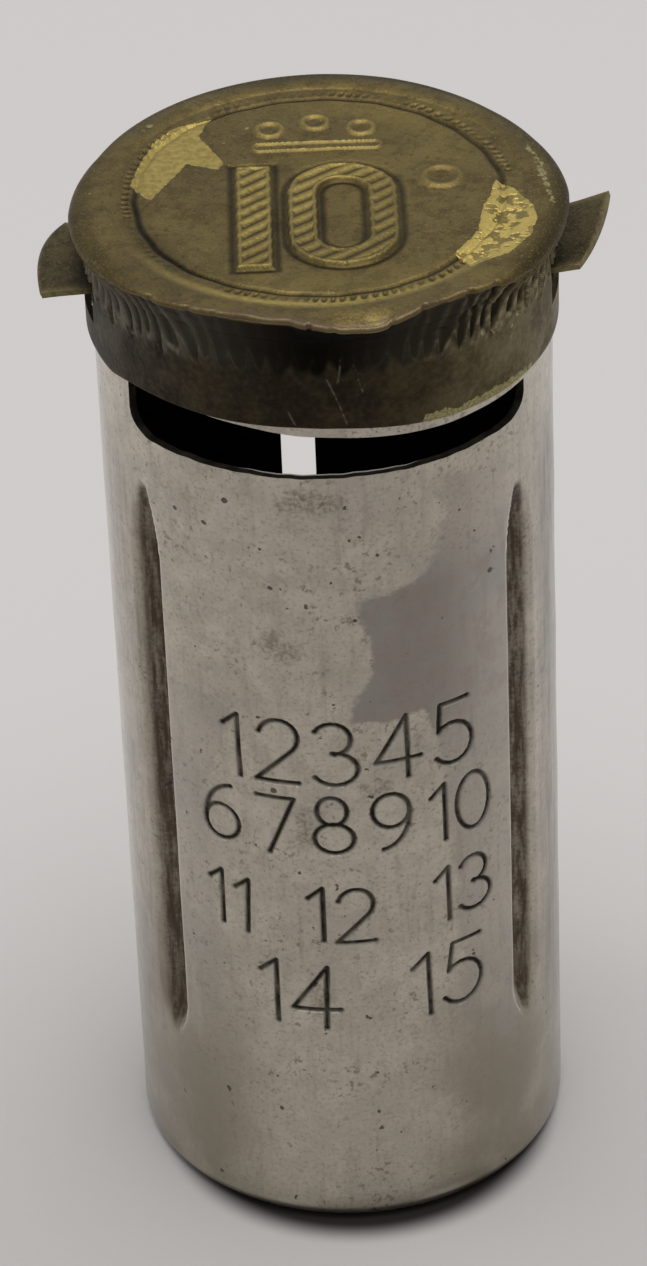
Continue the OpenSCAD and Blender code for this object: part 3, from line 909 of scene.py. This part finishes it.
def pleat_fields(angle, height):
    """The crimping from 0 to 1: its hollows, the ridges between, and the tips where hollows end."""
    warp = ripple(angle, 0 * angle, 2.6, (3, 5, 8, 13, 21), 5, 31)
    wave = np.cos(PLEATS * angle + warp + PLEAT_LEAN * (height - WAIST_Z) * np.sin(angle))
    ridge = (0.5 + 0.5 * wave) ** 2.2
    uneven = 0.22 * np.sin(37 * angle + 0.7) + 0.12 * np.sin(61 * angle)
    tip = SHOULDER_Z - 0.25 + 0.9 * ridge + uneven
    top = round_table(angle, LIP, 2) - 0.1 + 0.4 * (round_table(angle, BEAD) - THIN_BEAD)
    below, above = ease((height - tip) / 0.35), ease((top - height) / 0.45)
    strong = crimped(angle) * (0.78 + 0.22 * np.sin(29 * angle + 1.3) * np.sin(47 * angle))
    rise = 4 * below * (1 - below)
    return (1 - ridge) * below * above * strong, ridge * above * strong, rise * above * strong


# %% [markdown]
# ## Embossed panel
# The panel shows a plain hatched number ten with a short bar and small rings over it.
# Its relief is written as distances: inside an outline the panel rises, and the hatching is a slanted
# ridge wave. The dashes of the ring are the same idea with an angle in place of a length.
# %% Panel relief
TEN_Y = (-6.4, 2.6)
ONE_X = (-3.9, -2.2)
ZERO_X = 1.15
ZERO_R = 2.6
ZERO_BAND = 1.4
FIGURE_H = 0.17
HATCH = 0.74
MOAT_H = 0.07
DASHES = 120
DASH_H = 0.11
RINGS = [(-2.2, 6.02, 0.8, 0.4), (0, 6.6, 0.8, 0.4), (2.2, 6.02, 0.8, 0.4), (5.9, 1.2, 1.1, 0.6)]
BAR = (-2.7, 2.8, 4.4, 0.32)


def ten_gap(x, y):
    """Signed distance to the number ten: the bar of the one and the band of the zero."""
    low, high = TEN_Y
    middle = sum(ONE_X) / 2
    one = np.maximum(np.abs(x - middle) - (ONE_X[1] - ONE_X[0]) / 2,
                     np.abs(y - (low + high) / 2) - (high - low) / 2)
    outer = capsule_gap(x, y, ZERO_X, ZERO_X, low + ZERO_R, high - ZERO_R, ZERO_R)
    hole = capsule_gap(x, y, ZERO_X, ZERO_X, low + ZERO_R, high - ZERO_R, ZERO_R - ZERO_BAND)
    return np.minimum(one, np.maximum(outer, -hole))


def inside_edge(gap, soft=0.16):
    return 1 - ease((gap + soft / 2) / soft)


def panel_relief(x, y):
    gap = ten_gap(x, y)
    wave = 0.5 + 0.5 * np.sin(2 * math.pi * (y * 0.8 - x * 0.6) / HATCH + 0.5 * np.sin(x * 0.9))
    hatched = 0.35 + 0.65 * np.maximum(line_at(gap, -0.16, 0.2), wave**0.8)
    relief = FIGURE_H * inside_edge(gap) * hatched - MOAT_H * line_at(gap, 0.2, 0.3)
    for cx, cy, outer, inner in RINGS:
        away = np.hypot(x - cx, y - cy)
        relief = relief + 0.12 * line_at(away, (outer + inner) / 2, (outer - inner) / 1.4)
    bar = capsule_gap(x, y, BAR[0], BAR[1], BAR[2], BAR[2], BAR[3])
    return relief + 0.1 * line_at(bar, 0, 0.16)


def ring_fields(angle, radius):
    """The relief of the groove with its slanting dashes, worn flat in places, and the lands between them."""
    wander = 0.12 * np.sin(2 * angle + 0.8) + 0.05 * np.sin(5 * angle) + 0.03 * np.sin(23 * angle)
    off = radius - RING_R - wander
    beat = 0.5 + 0.5 * np.sin(DASHES * angle + 2.5 * np.sin(4 * angle) + 1.1 * np.sin(17 * angle) + 4 * off)
    kept = 0.15 + 0.85 * ease(0.45 + 0.7 * np.sin(3 * angle + 1.0) + 0.6 * np.sin(11 * angle))
    row = line_at(off, 0.14, 0.3)
    relief = -DASH_H * (line_at(off, -0.3, 0.26) + row * beat**1.3 * kept)
    return relief, row * ease(1 - 2 * beat) * kept


# %% Cap profile
CAP_COLUMNS = 1440
CEILING_Z = PANEL_Z - CAP_WALL
BAND_R = 9.75
TOP_FROM = 54.2
TRIM_FROM = 50.2


def outside_rows(angle):
    """Lists of (radius, height) rows from the panel's middle to the skirt's edge, each for every column."""
    edge = round_table(angle, BEAD)
    front = 1 - ease((edge - THIN_BEAD) / 0.3)
    nicks = sum(depth * around(angle, middle, width) for middle, width, depth in NICKS)
    centre_r = np.maximum(round_table(angle, LIP, 1) - nicks, LIP_LEAST) - edge
    centre_z = round_table(angle, LIP, 2) + ripple(angle, 0 * angle, 0.05, (17, 26, 41), 5, 21) * front
    top = centre_z + edge
    rows = []
    for r in spread((0.06, 8.6, 0.085), (8.6, BAND_R, 0.06)):
        rows.append((r + 0 * angle, PANEL_Z + 0 * angle))
    for t in np.linspace(0.04, 1, 18):
        radius = BAND_R + t * (centre_r - BAND_R)
        swell = 0.12 * np.sin(math.pi * t) ** 0.8
        rows.append((radius, PANEL_Z + (top - PANEL_Z) * t**2.5 + swell * (1 - 0.5 * t)))
    for share in np.linspace(0, 1, 14):
        turn = np.radians(80 - share * (115 + 45 * front))
        rows.append((centre_r + edge * np.cos(turn), centre_z + edge * np.sin(turn)))
    start_r, start_z = rows[-1]
    waist = WAIST_R + 0.26 * (crimped(angle) - LEAST_CRIMP)
    for t in np.linspace(0.05, 1, 24):
        tuck = ease(t) ** 0.8 * (1 - front) + (1 - (1 - t) ** 2.4) * front
        height = start_z + (WAIST_Z - start_z) * t
        rows.append((np.maximum(start_r + (waist - start_r) * tuck, least_radius(height)), height))
    for t in np.linspace(0.08, 1, 14):
        rows.append((waist + (SKIRT_R - waist) * ease(t), WAIST_Z + (SHOULDER_Z - WAIST_Z) * t + 0 * angle))
    for z in spread((SKIRT_Z + 0.08, SHOULDER_Z - 0.07, 0.1))[::-1]:
        rows.append((SKIRT_R + 0 * angle, z + 0 * angle))
    rows.append((SKIRT_R - 0.08 + 0 * angle, SKIRT_Z + 0 * angle))
    return rows


def inside_rows(angle):
    """Rows from the skirt's edge up inside and in to the middle of the ceiling."""
    bore = TUBE_R + 0.05
    waist, ceiling = WAIST_R - 0.32, CEILING_Z - 0.1
    stops = [(bore + 0.06, SKIRT_Z), (bore, SKIRT_Z + 0.06), (bore, 50.0), (bore, 51.0), (bore, SHOULDER_Z),
             (waist, WAIST_Z - 0.3), (waist, WAIST_Z + 0.3), (waist, 54.3), (10.4, CEILING_Z - 0.05),
             (9.3, CEILING_Z - 0.18), (8.5, ceiling), (4.0, ceiling), (0.5, ceiling)]
    return [(r + 0 * angle, z + 0 * angle) for r, z in stops]


def work_cap(turn, radius, height):
    """The relief, the crimping and the wear of hand work on the outside's grid."""
    x, y = radius * np.sin(turn), -radius * np.cos(turn)
    flat = ease((9.9 - radius) / 0.3) * (height > PANEL_Z - 0.01)
    height = height + (panel_relief(x, y) + ring_fields(turn, radius)[0]) * flat
    sag = ripple(turn, radius, 0.03, (2, 3, 5), 9, 41) * ease(radius / 3)
    height = height + sag * (height > TOP_FROM) * flat
    face = (height < PANEL_Z + 0.05) & (radius > 10.9)
    hollow = pleat_fields(turn, height)[0]
    press = hollow * np.clip(radius - least_radius(height), 0, 0.4)
    crumple = np.clip(ripple(turn, height, 0.5, (23, 31, 47), 1.3, 61), 0, 0.35) * around(turn, 36, 15)
    crumple = crumple * ease((height - 52.9) / 0.5) * ease((54.9 - height) / 0.3)
    press = press + np.minimum(crumple, np.clip(radius - press - least_radius(height), 0, 1))
    dent = (0.03 + ripple(turn, height, 0.012, (5, 9, 14, 21), 4, 51)) * (height < LINER_Z)
    return radius - (press + dent) * face, height


def make_cap():
    angle = np.linspace(-math.pi, math.pi, CAP_COLUMNS, endpoint=False)
    outside, inside = outside_rows(angle), inside_rows(angle)
    radius, height = (np.array([row[k] for row in outside]) for k in (0, 1))
    radius, height = work_cap(angle[None, :] + 0 * radius, radius, height)
    all_r = np.vstack([radius, [row[0] for row in inside]])
    all_z = np.vstack([height, [row[1] for row in inside]])
    trim = round_table(angle, SKIRT_EDGE) - SKIRT_Z
    all_z = all_z + trim * np.clip((TRIM_FROM - all_z) / (TRIM_FROM - SKIRT_Z), 0, 1)
    count = len(all_r)
    points = round_points(angle[None, :] + 0 * all_r, all_r, all_z)
    poles = [(0, 0, PANEL_Z), (0, 0, CEILING_Z - 0.1)]
    top, bottom = len(points), len(points) + 1
    j = np.arange(CAP_COLUMNS)
    k = (j + 1) % CAP_COLUMNS
    last = (count - 1) * CAP_COLUMNS
    fans = [np.column_stack([0 * j + top, j, k]), np.column_stack([last + j, 0 * j + bottom, last + k])]
    return mesh_object("brass_cap", np.vstack([points, poles]), [grid_faces(count, CAP_COLUMNS), *fans])


cap = make_cap()
windows = []
for side in (-1, 1):
    corners = [(side * 9.5, -WINDOW_HALF, WINDOW_Z[0]), (side * 13, WINDOW_HALF, WINDOW_Z[1])]
    windows.append(block("window_punch", *sorted(corners)))
combine(cap, windows)
smooth(cap, 50)
print("cap:", len(cap.data.vertices), "points")

# %% [markdown]
# ## Where the brass is bright
# Handling rubs the tarnish off the high places, and two spots on the panel have flaked to bare metal.
# The raised figure is also painted lighter towards the back left, and the band in front carries a painted
# highlight.
# Painting them would need an image. Here each spot is an outline in millimetres, and the mesh
# stores how deep inside it every point lies, which the material then breaks up with noise.
# %% Wear marks on the cap
LEFT_FLAKE = [(-8.2, 0.3), (-8.9, 1.5), (-8.4, 3.6), (-7.7, 5.5), (-6.9, 6.5), (-5.0, 7.4), (-5.6, 5.7),
              (-4.4, 3.2), (-4.7, 2.6), (-6.2, 3.2), (-6.7, 2.2), (-7.9, 0)]
RIGHT_FLAKE = [(8.4, 0.7), (9.3, -0.3), (10.1, -1.9), (10.2, -3.1), (9.8, -4.6), (8.7, -6.1), (6.9, -7.0),
               (6.2, -5.8), (7.4, -3.8), (7.7, -1.7), (8.1, -0.8)]
SCRATCHES = [((0, 51.9), (0.5, 50.6), (0.9, 49.3)), ((0.7, 52.7), (0.5, 51.5)), ((1.3, 52.5), (1.7, 50.9)),
             ((-1.8, 50), (-1.5, 49.3))]
DRIP = [(10.6, 52.3), (10.0, 51.6), (9.9, 50.9)]
RIM_CHIPS = [(9.9, 3.8), (10.55, 1.9), (10.8, 0), (10.95, -1.7)]
RIM_SPECKS = [(-7.95, 6.8, 0.3), (-8.3, 6.4, 0.25), (-10.1, 2.0, 0.22), (-10.8, 0.8, 0.2), (-3.3, 6.3, 0.25),
              (-4.4, 5.0, 0.2), (5.3, -2.2, 0.16), (3.4, 4.2, 0.18), (-6.4, -3.2, 0.12)]


def path_gap(x, y, path):
    stretches = zip(path[:-1], path[1:])
    return np.min([capsule_gap(x, y, a[0], b[0], a[1], b[1], 0) for a, b in stretches], axis=0)


def rubbed_cap(x, y, angle, radius, above):
    """Where hands polished the panel, with painted light: the raised figure, lighter towards the back left
    as painted light, the band round it in front, partly a painted highlight, two soft aprons, and the lands
    between the dashes.
    """
    raised = np.clip(panel_relief(x, y) / FIGURE_H, 0, 1) * above * (radius < 8.6)
    # painted light: the raised figure is lighter towards the back left
    upper_left = ease((y - x + 4) / 6)
    # the band in front: rubbed brass with a painted highlight
    band = line_at(radius, 9.7, 0.5) * around(angle, 2, 84)
    apron = 0.15 * around(angle, -5, 80) + 0.3 * around(angle, 160, 70)
    apron = ease((radius - 6.3) / 1.8) * (radius < 8.7) * apron
    lands = 0.55 * ring_fields(angle, radius)[1] * (around(angle, 10, 60) + around(angle, 175, 70))
    return np.clip(raised * (0.35 + 0.5 * upper_left) + (1.25 * band + apron + lands) * above, 0, 1)


def chipped_cap(x, y, z, angle, radius, above, outer):
    """Where the tarnish is chipped off in specks: the skirt's edge, the rim, single specks and a drip."""
    edge = round_table(angle, SKIRT_EDGE)
    foot = ease((edge + 1.05 - z) / 0.9) * np.clip(3 * around(angle, 41.5, 27), 0, 1) * (radius > 11.2)
    rim = ease((0.55 - path_gap(x, y, RIM_CHIPS)) / 0.5) * above
    specks = np.max([ease((size - np.hypot(x - u, y - v)) / 0.15) for u, v, size in RIM_SPECKS], axis=0)
    drip = ease((0.26 - path_gap(angle * SKIRT_R, z, DRIP)) / 0.2) * outer
    return np.clip(foot + 0.72 * rim + 0.75 * specks * above + 0.68 * drip, 0, 1)


def sooty_cap(x, y, angle, radius, above, pleats, lip_r):
    """Where it is dark: painted shade in the pleats under the lip, dirt with painted shade in the dashes and
    in the moat and hatching of the figure, a crease by the lip, and old patina.
    """
    dashes = np.clip(-ring_fields(angle, radius)[0] / DASH_H, 0, 1) * above * (radius < 9.9)
    relief = panel_relief(x, y)
    trough = inside_edge(ten_gap(x, y)) * np.clip(1.25 - relief / (0.75 * FIGURE_H), 0, 1)
    moat = np.clip(-relief / MOAT_H, 0, 1)
    crease = line_at(radius, lip_r - 0.34, 0.08) * around(angle, 11, 13) * above
    patina = 0.42 * line_at(radius, 8.8, 1.2) * around(angle, -62, 50)
    patina = (patina + 0.25 * ease((radius - 9.8) / 0.4) * around(angle, -42, 34)) * above
    # painted shade in the pleat hollows under the lip; dirt with painted shade in the dashes and the
    # figure's hollows
    soot = 0.9 * pleats + 0.8 * dashes + (0.8 * moat + 0.75 * trough) * above * (radius < 8.6)
    return np.clip(soot + 0.5 * crease + patina, 0, 1)


def mark_cap(piece):
    x, y, z = points_of(piece).T
    radius, angle = np.hypot(x, y), np.arctan2(x, -y)
    above = z > TOP_FROM
    outer = radius > DEEPEST_R - 0.1
    hollow, ridge, tip = pleat_fields(angle, z)
    lip_r, lip_z = round_table(angle, LIP), round_table(angle, LIP, 2)
    below_lip = ease((lip_z - round_table(angle, BEAD) - z) / 0.12)
    ragged = ripple(angle, 0 * angle, 0.3, (29, 47, 73), 5, 71)
    # the band under the lip, which the brass paints nearly black in front as painted shade
    waist = outer * ease((z - SHOULDER_Z + 0.2 + ragged) / 0.55) * below_lip
    seen = outer * ease((z - SHOULDER_Z + 0.4) / 0.3) * below_lip * (1 - 0.85 * around(angle, -2, 40))
    scratch_gap = np.min([path_gap(angle * SKIRT_R, z, path) for path in SCRATCHES], axis=0)
    rolled = around(angle, -2, 58) * (radius > 10.6)
    rim_start = 10.7 - 0.5 * around(angle, 180, 60) - 0.3 * around(angle, -85, 50)
    rim = ease((radius - rim_start) / 0.8) * ease((np.abs(np.degrees(angle)) - 42) / 16)
    store(piece,
          flake=within(deepest(x, y, (LEFT_FLAKE, RIGHT_FLAKE)), 0.3) * above,
          pitted=within(outline_depth(x, y, RIGHT_FLAKE), 1.2) * above,
          rubbed=rubbed_cap(x, y, angle, radius, above),
          chipped=chipped_cap(x, y, z, angle, radius, above, outer),
          scratch=ease((0.06 - scratch_gap) / 0.06) * outer,
          waist=waist,
          # pleat crests: rubbed brass with a painted highlight
          crest=np.clip(tip + 0.65 * ridge**1.5, 0, 1) * seen,
          soot=sooty_cap(x, y, angle, radius, above, waist * hollow, lip_r),
          lip=rolled * ease((radius - lip_r + 0.5) / 0.2) * ease((z - lip_z + 0.18) / 0.05),
          # painted highlight: a thin light line along the lip's edge in front
          lip_edge=rolled * line_at(z, lip_z - 0.11, 0.07) * (radius > lip_r - 0.25),
          skirt=outer * ease((WAIST_Z + 0.2 - z) / 0.4),
          front=around(angle, -2, 62),
          rim=rim * above * (0.65 + 0.35 * ease((x + 9) / 12)))


mark_cap(cap)
print("cap marked")

# %% [markdown]
# ## Tarnished brass
# Old brass goes brown-olive and uneven, nearly black where dirt sits, and yellow where it is rubbed.
# Painted shade darkens it too, under the lip, in the pleats, in the figure's hollows and at the ears' roots,
# and painted highlights lighten the lip's edge and the pleats' crests.
# One function makes the cap's finish and the ears' darker one. The marks stored above steer it, and noise
# breaks their edges, so that a worn place ends in specks and not in a line. Without marks a piece has
# none of that wear.
# Skirt and waist differ from left to right and in front: their front is painted shade, nearly black at the
# waist, and the skirt's right side is painted light, while its left side is a smoky grey-brown.
# %% Brass
def tarnished_brass(name, *colours):
    dark, olive, bare = (np.array(colour) for colour in colours)
    material, tree, shader = new_material(name)
    at = coordinates(tree)
    cloud = noise(tree, at, 0.4, 6.0, 0.6)
    speckle = noise(tree, at, 3.2, 4.0, 0.6)
    fine = noise(tree, at, 9.0, 3.0)
    across = add_node(tree, "ShaderNodeSeparateXYZ", Vector=at).outputs["X"]
    right = step(tree, across, 1, 7.5)
    front = attribute(tree, "front")
    broad = step(tree, noise(tree, at, 0.16, 3.0), 0.35, 0.65)
    tone = times(tree, maths(tree, "ADD", broad, step(tree, cloud, 0.3, 0.7)), 0.5)
    blotches = step(tree, noise(tree, at, 1.1, 5.0, 0.65), 0.47, 0.62, 0, 0.45)
    uneven = maths(tree, "ADD", times(tree, step(tree, cloud, 0.36, 0.64), 0.7),
                   times(tree, step(tree, speckle, 0.38, 0.66), 0.3))
    # skirt tones: smoky grey-brown on the left, painted light on the right, painted shade in front
    smoky = mix(tree, uneven, (0.03, 0.0225, 0.0125), (0.072, 0.058, 0.036))
    sunny = mix(tree, uneven, (0.092, 0.073, 0.033), (0.205, 0.172, 0.09))
    shadowed = mix(tree, uneven, (0.024, 0.019, 0.012), (0.058, 0.045, 0.025))
    skirt = mix(tree, front, mix(tree, right, smoky, sunny), shadowed)
    # waist colours: near-black painted shade in front; at the sides lighter on the left than on the right
    walls = mix(tree, right, (0.13, 0.113, 0.088), (0.055, 0.042, 0.025))
    waist = mix(tree, front, walls, (0.006, 0.005, 0.003))
    rubbed = times(tree, attribute(tree, "rubbed"), step(tree, speckle, 0.3, 0.6, 0.45, 1))
    # dirt and painted shade, nearly black
    soot = times(tree, attribute(tree, "soot"), step(tree, speckle, 0.3, 0.7, 1, 0.88))
    # pleat crests: rubbed brass with a painted highlight, brighter on the right
    crest = times(tree, attribute(tree, "crest"), step(tree, speckle, 0.35, 0.6, 0.4, 1))
    lumps = maths(tree, "SUBTRACT", maths(tree, "ADD", speckle, noise(tree, at, 1.2, 3.0)), 1.0)
    chips = step(tree, maths(tree, "ADD", attribute(tree, "chipped"), lumps), 0.66, 0.76)
    ragged = times(tree, maths(tree, "SUBTRACT", speckle, 0.5), 0.8)
    flake = step(tree, maths(tree, "ADD", attribute(tree, "flake"), ragged), 0.45, 0.6)
    holes = times(tree, attribute(tree, "pitted"), step(tree, noise(tree, at, 1.5, 2.0), 0.5, 0.58))
    flake = maths(tree, "SUBTRACT", flake, times(tree, holes, 0.75))
    scratch = times(tree, attribute(tree, "scratch"), step(tree, speckle, 0.4, 0.6, 0.03, 0.45))
    shiny = mix(tree, step(tree, speckle, 0.35, 0.65), 0.8 * bare, 1.15 * bare)
    colour = layered(tree, dark, [
        (tone, olive),
        (attribute(tree, "rim", 0.9), 0.48 * dark),
        (blotches, 0.55 * dark),
        (step(tree, speckle, 0.52, 0.72, 0, 0.6), 0.5 * dark),
        (step(tree, fine, 0.54, 0.7, 0, 0.45), 0.5 * (olive + bare)),
        (attribute(tree, "skirt"), skirt),
        (attribute(tree, "waist"), waist),
        (rubbed, 0.15 * olive + 0.85 * bare),
        (attribute(tree, "lip", 0.75), (0.17, 0.125, 0.075)),
        (soot, (0.012, 0.01, 0.007)),
        # painted highlight along the lip's edge
        (attribute(tree, "lip_edge", 0.8), (0.42, 0.33, 0.2)),
        (crest, mix(tree, right, (0.19, 0.165, 0.12), (0.42, 0.36, 0.21))),
        (chips, mix(tree, step(tree, fine, 0.4, 0.6), (0.24, 0.21, 0.09), (0.4, 0.36, 0.17))),
        (flake, mix(tree, attribute(tree, "pitted"), shiny, 1.45 * bare)),
        (scratch, (0.3, 0.27, 0.18)),
    ])
    rough = maths(tree, "SUBTRACT", step(tree, cloud, 0.3, 0.7, 0.56, 0.46), times(tree, flake, 0.06))
    grain = maths(tree, "ADD", times(tree, speckle, 1.2), times(tree, fine, 0.5))
    for hollow, depth in ((flake, 0.8), (holes, 2.5)):
        grain = maths(tree, "SUBTRACT", grain, times(tree, hollow, depth))
    set_finish(tree, shader, colour, rough, grain, 0.03)
    return material


cap_brass = tarnished_brass("tarnished_brass", (0.125, 0.094, 0.04), (0.22, 0.163, 0.058), (0.43, 0.33, 0.1))
cap.data.materials.clear()
cap.data.materials.append(cap_brass)
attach(cap, "cap")
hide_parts("cap_shell")
print("cap finished with", cap_brass.name)

# %% [markdown]
# ## Latches with their ears
# Each latch is a strip of sheet brass: an eye round its pin, a leg with a nose and a cam inside the cap,
# and an ear outside that the finger pulls. The ears have been bent by use: the left one droops, the right
# one flares. A curved sheet is easiest as a Bezier patch: sixteen control points give it, and it is
# thickened after. The ears' borders are rubbed and their roots get a painted shadow, so each point also
# learns where on the patch it lies.
# %% Ear sheets
SHEET = 0.3
LEFT_EAR = [
    [(-10.4, 2.75, 51.8), (-10.4, 0.9, 51.8), (-10.4, -0.9, 51.8), (-10.4, -2.75, 51.8)],
    [(-11.6, 2.9, 51.9), (-11.6, 0.9, 51.9), (-11.6, -1.0, 51.85), (-11.5, -2.8, 51.75)],
    [(-12.2, 3.0, 52.0), (-12.9, 1.2, 51.9), (-12.9, -1.2, 51.8), (-12.5, -2.9, 51.8)],
    [(-12.1, 3.0, 51.9), (-13.6, 2.0, 51.5), (-13.5, -0.4, 51.45), (-13.25, -2.6, 51.5)],
]
RIGHT_EAR = [
    [(10.4, 2.75, 51.8), (10.4, 0.9, 51.8), (10.4, -0.9, 51.8), (10.4, -2.75, 51.8)],
    [(11.7, 2.8, 51.75), (11.7, 0.9, 51.75), (11.6, -0.9, 51.75), (11.4, -2.6, 51.75)],
    [(12.6, 2.7, 52.2), (12.4, 1.0, 52.1), (12.2, -1.0, 51.9), (11.8, -2.5, 51.8)],
    [(13.95, 2.75, 52.6), (13.75, 1.3, 52.4), (13.2, -0.9, 52.2), (12.2, -2.5, 51.8)],
]


def bernstein(t):
    return np.stack([(1 - t) ** 3, 3 * t * (1 - t) ** 2, 3 * t * t * (1 - t), t**3], axis=-1)


def bent_sheet(name, net, rows=26, columns=26):
    """A closed sheet of even thickness over a Bezier patch."""
    u, v = bernstein(np.linspace(0, 1, rows)), bernstein(np.linspace(0, 1, columns))
    surface = np.einsum("ia,jb,abk->ijk", u, v, np.array(net, float))
    across = np.gradient(surface, axis=1)
    along = np.gradient(surface, axis=0)
    normal = np.cross(along, across)
    normal /= np.linalg.norm(normal, axis=2, keepdims=True)
    normal *= np.sign(normal[..., 2:3])
    layers = [surface + normal * SHEET / 2, surface - normal * SHEET / 2]
    points = np.vstack([layer.reshape(-1, 3) for layer in layers])
    face = grid_faces(rows, columns, columns_close=False)
    index = np.arange(rows * columns).reshape(rows, columns)
    border = np.concatenate([index[0, :-1], index[:-1, -1], index[-1, :0:-1], index[:0:-1, 0]])
    following = np.roll(border, -1)
    shift = rows * columns
    sides = np.column_stack([border, following, following + shift, border + shift])
    piece = mesh_object(name, points, [face, face[:, ::-1] + shift, sides])
    face_outwards(piece)
    return piece


def bar_along_y(name, x, z, radius, length, sides=40):
    turn = np.linspace(0, 2 * math.pi, sides, endpoint=False)
    ring = np.column_stack([x + radius * np.cos(turn), 0 * turn, z + radius * np.sin(turn)])
    points = np.vstack([ring + (0, y, 0) for y in (-length / 2, length / 2)])
    ends = [np.arange(sides)[None, ::-1], np.arange(sides, 2 * sides)[None, :]]
    return mesh_object(name, points, [grid_faces(2, sides), *ends])


# %% Latch bodies
PIN_X = 9.85
PIN_Z = 52.45
PIN_HOLE_R = 0.28
EYE_R = 0.5
EYE_LENGTH = 3.8
LEG_W = 3.2
LEG_BOTTOM = 49.2
NECK_Z = (51.66, 51.94)
NOSE_W = 2.8
NOSE_Z = (49.35, 49.9)
CAM_Z = (LEG_BOTTOM, 49.95)


def side_block(name, side, near, far, half_width, low, high):
    x0, x1 = sorted((side * near, side * far))
    return block(name, (x0, -half_width, low), (x1, half_width, high))


def make_latch(name, side, net):
    latch = bent_sheet(name, net)
    leg_in, leg_out = PIN_X - SHEET / 2, PIN_X + SHEET / 2
    parts = [
        bar_along_y("eye", side * PIN_X, PIN_Z, EYE_R, EYE_LENGTH),
        side_block("leg", side, leg_in, leg_out, LEG_W / 2, LEG_BOTTOM, PIN_Z),
        side_block("neck", side, PIN_X, 10.6, LEG_W / 2, *NECK_Z),
        side_block("nose", side, PIN_X, 10.45, NOSE_W / 2, *NOSE_Z),
        side_block("cam", side, leg_in - 0.28, PIN_X, NOSE_W / 2, *CAM_Z),
    ]
    combine(latch, parts, "UNION")
    combine(latch, [bar_along_y("pin_hole", side * PIN_X, PIN_Z, PIN_HOLE_R, 5)])
    smooth(latch, 40)
    return latch


def mark_ear(piece, net):
    """Rubbed borders and a painted shadow at the root. Each point's place on the patch is that of the
    nearest sample.
    """
    places = np.linspace(0, 1, 41)
    weights = bernstein(places)
    surface = np.einsum("ia,jb,abk->ijk", weights, weights, np.array(net, float)).reshape(-1, 3)
    along, across = (grid.ravel() for grid in np.meshgrid(places, places, indexing="ij"))
    points = points_of(piece)
    nearest = np.argmin(((points[:, None, :] - surface[None, :, :]) ** 2).sum(axis=2), axis=1)
    outside = np.abs(points[:, 0]) > SKIRT_R - 0.6
    border = np.min([1 - along, across, 1 - across], axis=0)[nearest]
    store(piece,
          rubbed=0.55 * ease(1 - border / 0.09) * outside,
          # painted shadow at the ear's root, by the window
          soot=0.8 * ease(1 - along[nearest] / 0.55) * outside)


latch_brass = tarnished_brass("dark_brass", (0.043, 0.034, 0.016), (0.122, 0.098, 0.046), (0.4, 0.32, 0.16))


def finish_latch(side_name, side, net):
    latch = make_latch(side_name + "_eared_latch", side, net)
    latch.data.materials.clear()
    latch.data.materials.append(latch_brass)
    mark_ear(latch, net)
    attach(latch, side_name + "_latch")
    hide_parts(side_name + "_latch")
    return latch


left_latch = finish_latch("left", -1, LEFT_EAR)
right_latch = finish_latch("right", 1, RIGHT_EAR)
print("latches:", len(left_latch.data.vertices), "and", len(right_latch.data.vertices), "points")

# %% [markdown]
# ## Hidden pieces
# The pan, cup, stem, spring, pins and bottom keep their CAD shape, which is already right for turned
# and pressed parts. They show when the cap is lifted, so they get real finishes too: clean brass
# that never saw daylight, and plain drawn steel.
# %% Inner brass and steel
def inner_brass_material():
    material, tree, shader = new_material("inner_brass")
    at = coordinates(tree)
    cloud = noise(tree, at, 0.4, 5.0)
    spots = step(tree, noise(tree, at, 1.6, 3.0), 0.62, 0.72)
    colour = layered(tree, (0.5, 0.38, 0.17), [
        (step(tree, cloud, 0.35, 0.65), (0.6, 0.47, 0.23)),
        (times(tree, spots, 0.7), (0.2, 0.13, 0.06)),
    ])
    rough = step(tree, cloud, 0.3, 0.7, 0.26, 0.42)
    set_finish(tree, shader, colour, rough, noise(tree, at, 5.0, 3.0), 0.012)
    return material


def steel_material():
    material, tree, shader = new_material("drawn_steel")
    draw_lines = noise(tree, coordinates(tree, (1, 1, 0.3)), 4.0, 4.0)
    rust = step(tree, noise(tree, coordinates(tree), 0.9, 4.0), 0.56, 0.7)
    colour = layered(tree, (0.38, 0.38, 0.38), [
        (draw_lines, (0.5, 0.5, 0.5)),
        (times(tree, rust, 0.6), (0.16, 0.09, 0.05)),
    ])
    set_finish(tree, shader, colour, step(tree, rust, 0, 1, 0.3, 0.6), draw_lines, 0.01)
    return material


# %% Give the carried-over nodes their finish
inner_brass = inner_brass_material()
steel = steel_material()
FINISHES = {
    "base_disc": (nickel, "nickel"),
    "cap_liner": (inner_brass, "inner_brass"),
    "lock_cup": (inner_brass, "inner_brass"),
    "lock_stem": (steel, "steel"),
    "lock_spring": (steel, "steel"),
    "left_hinge_pin": (steel, "steel"),
    "right_hinge_pin": (steel, "steel"),
}
for node_name, (material, slot_name) in FINISHES.items():
    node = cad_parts[node_name]
    node.data.materials.clear()
    node.data.materials.append(material)
print("finished nodes:", ", ".join(FINISHES))
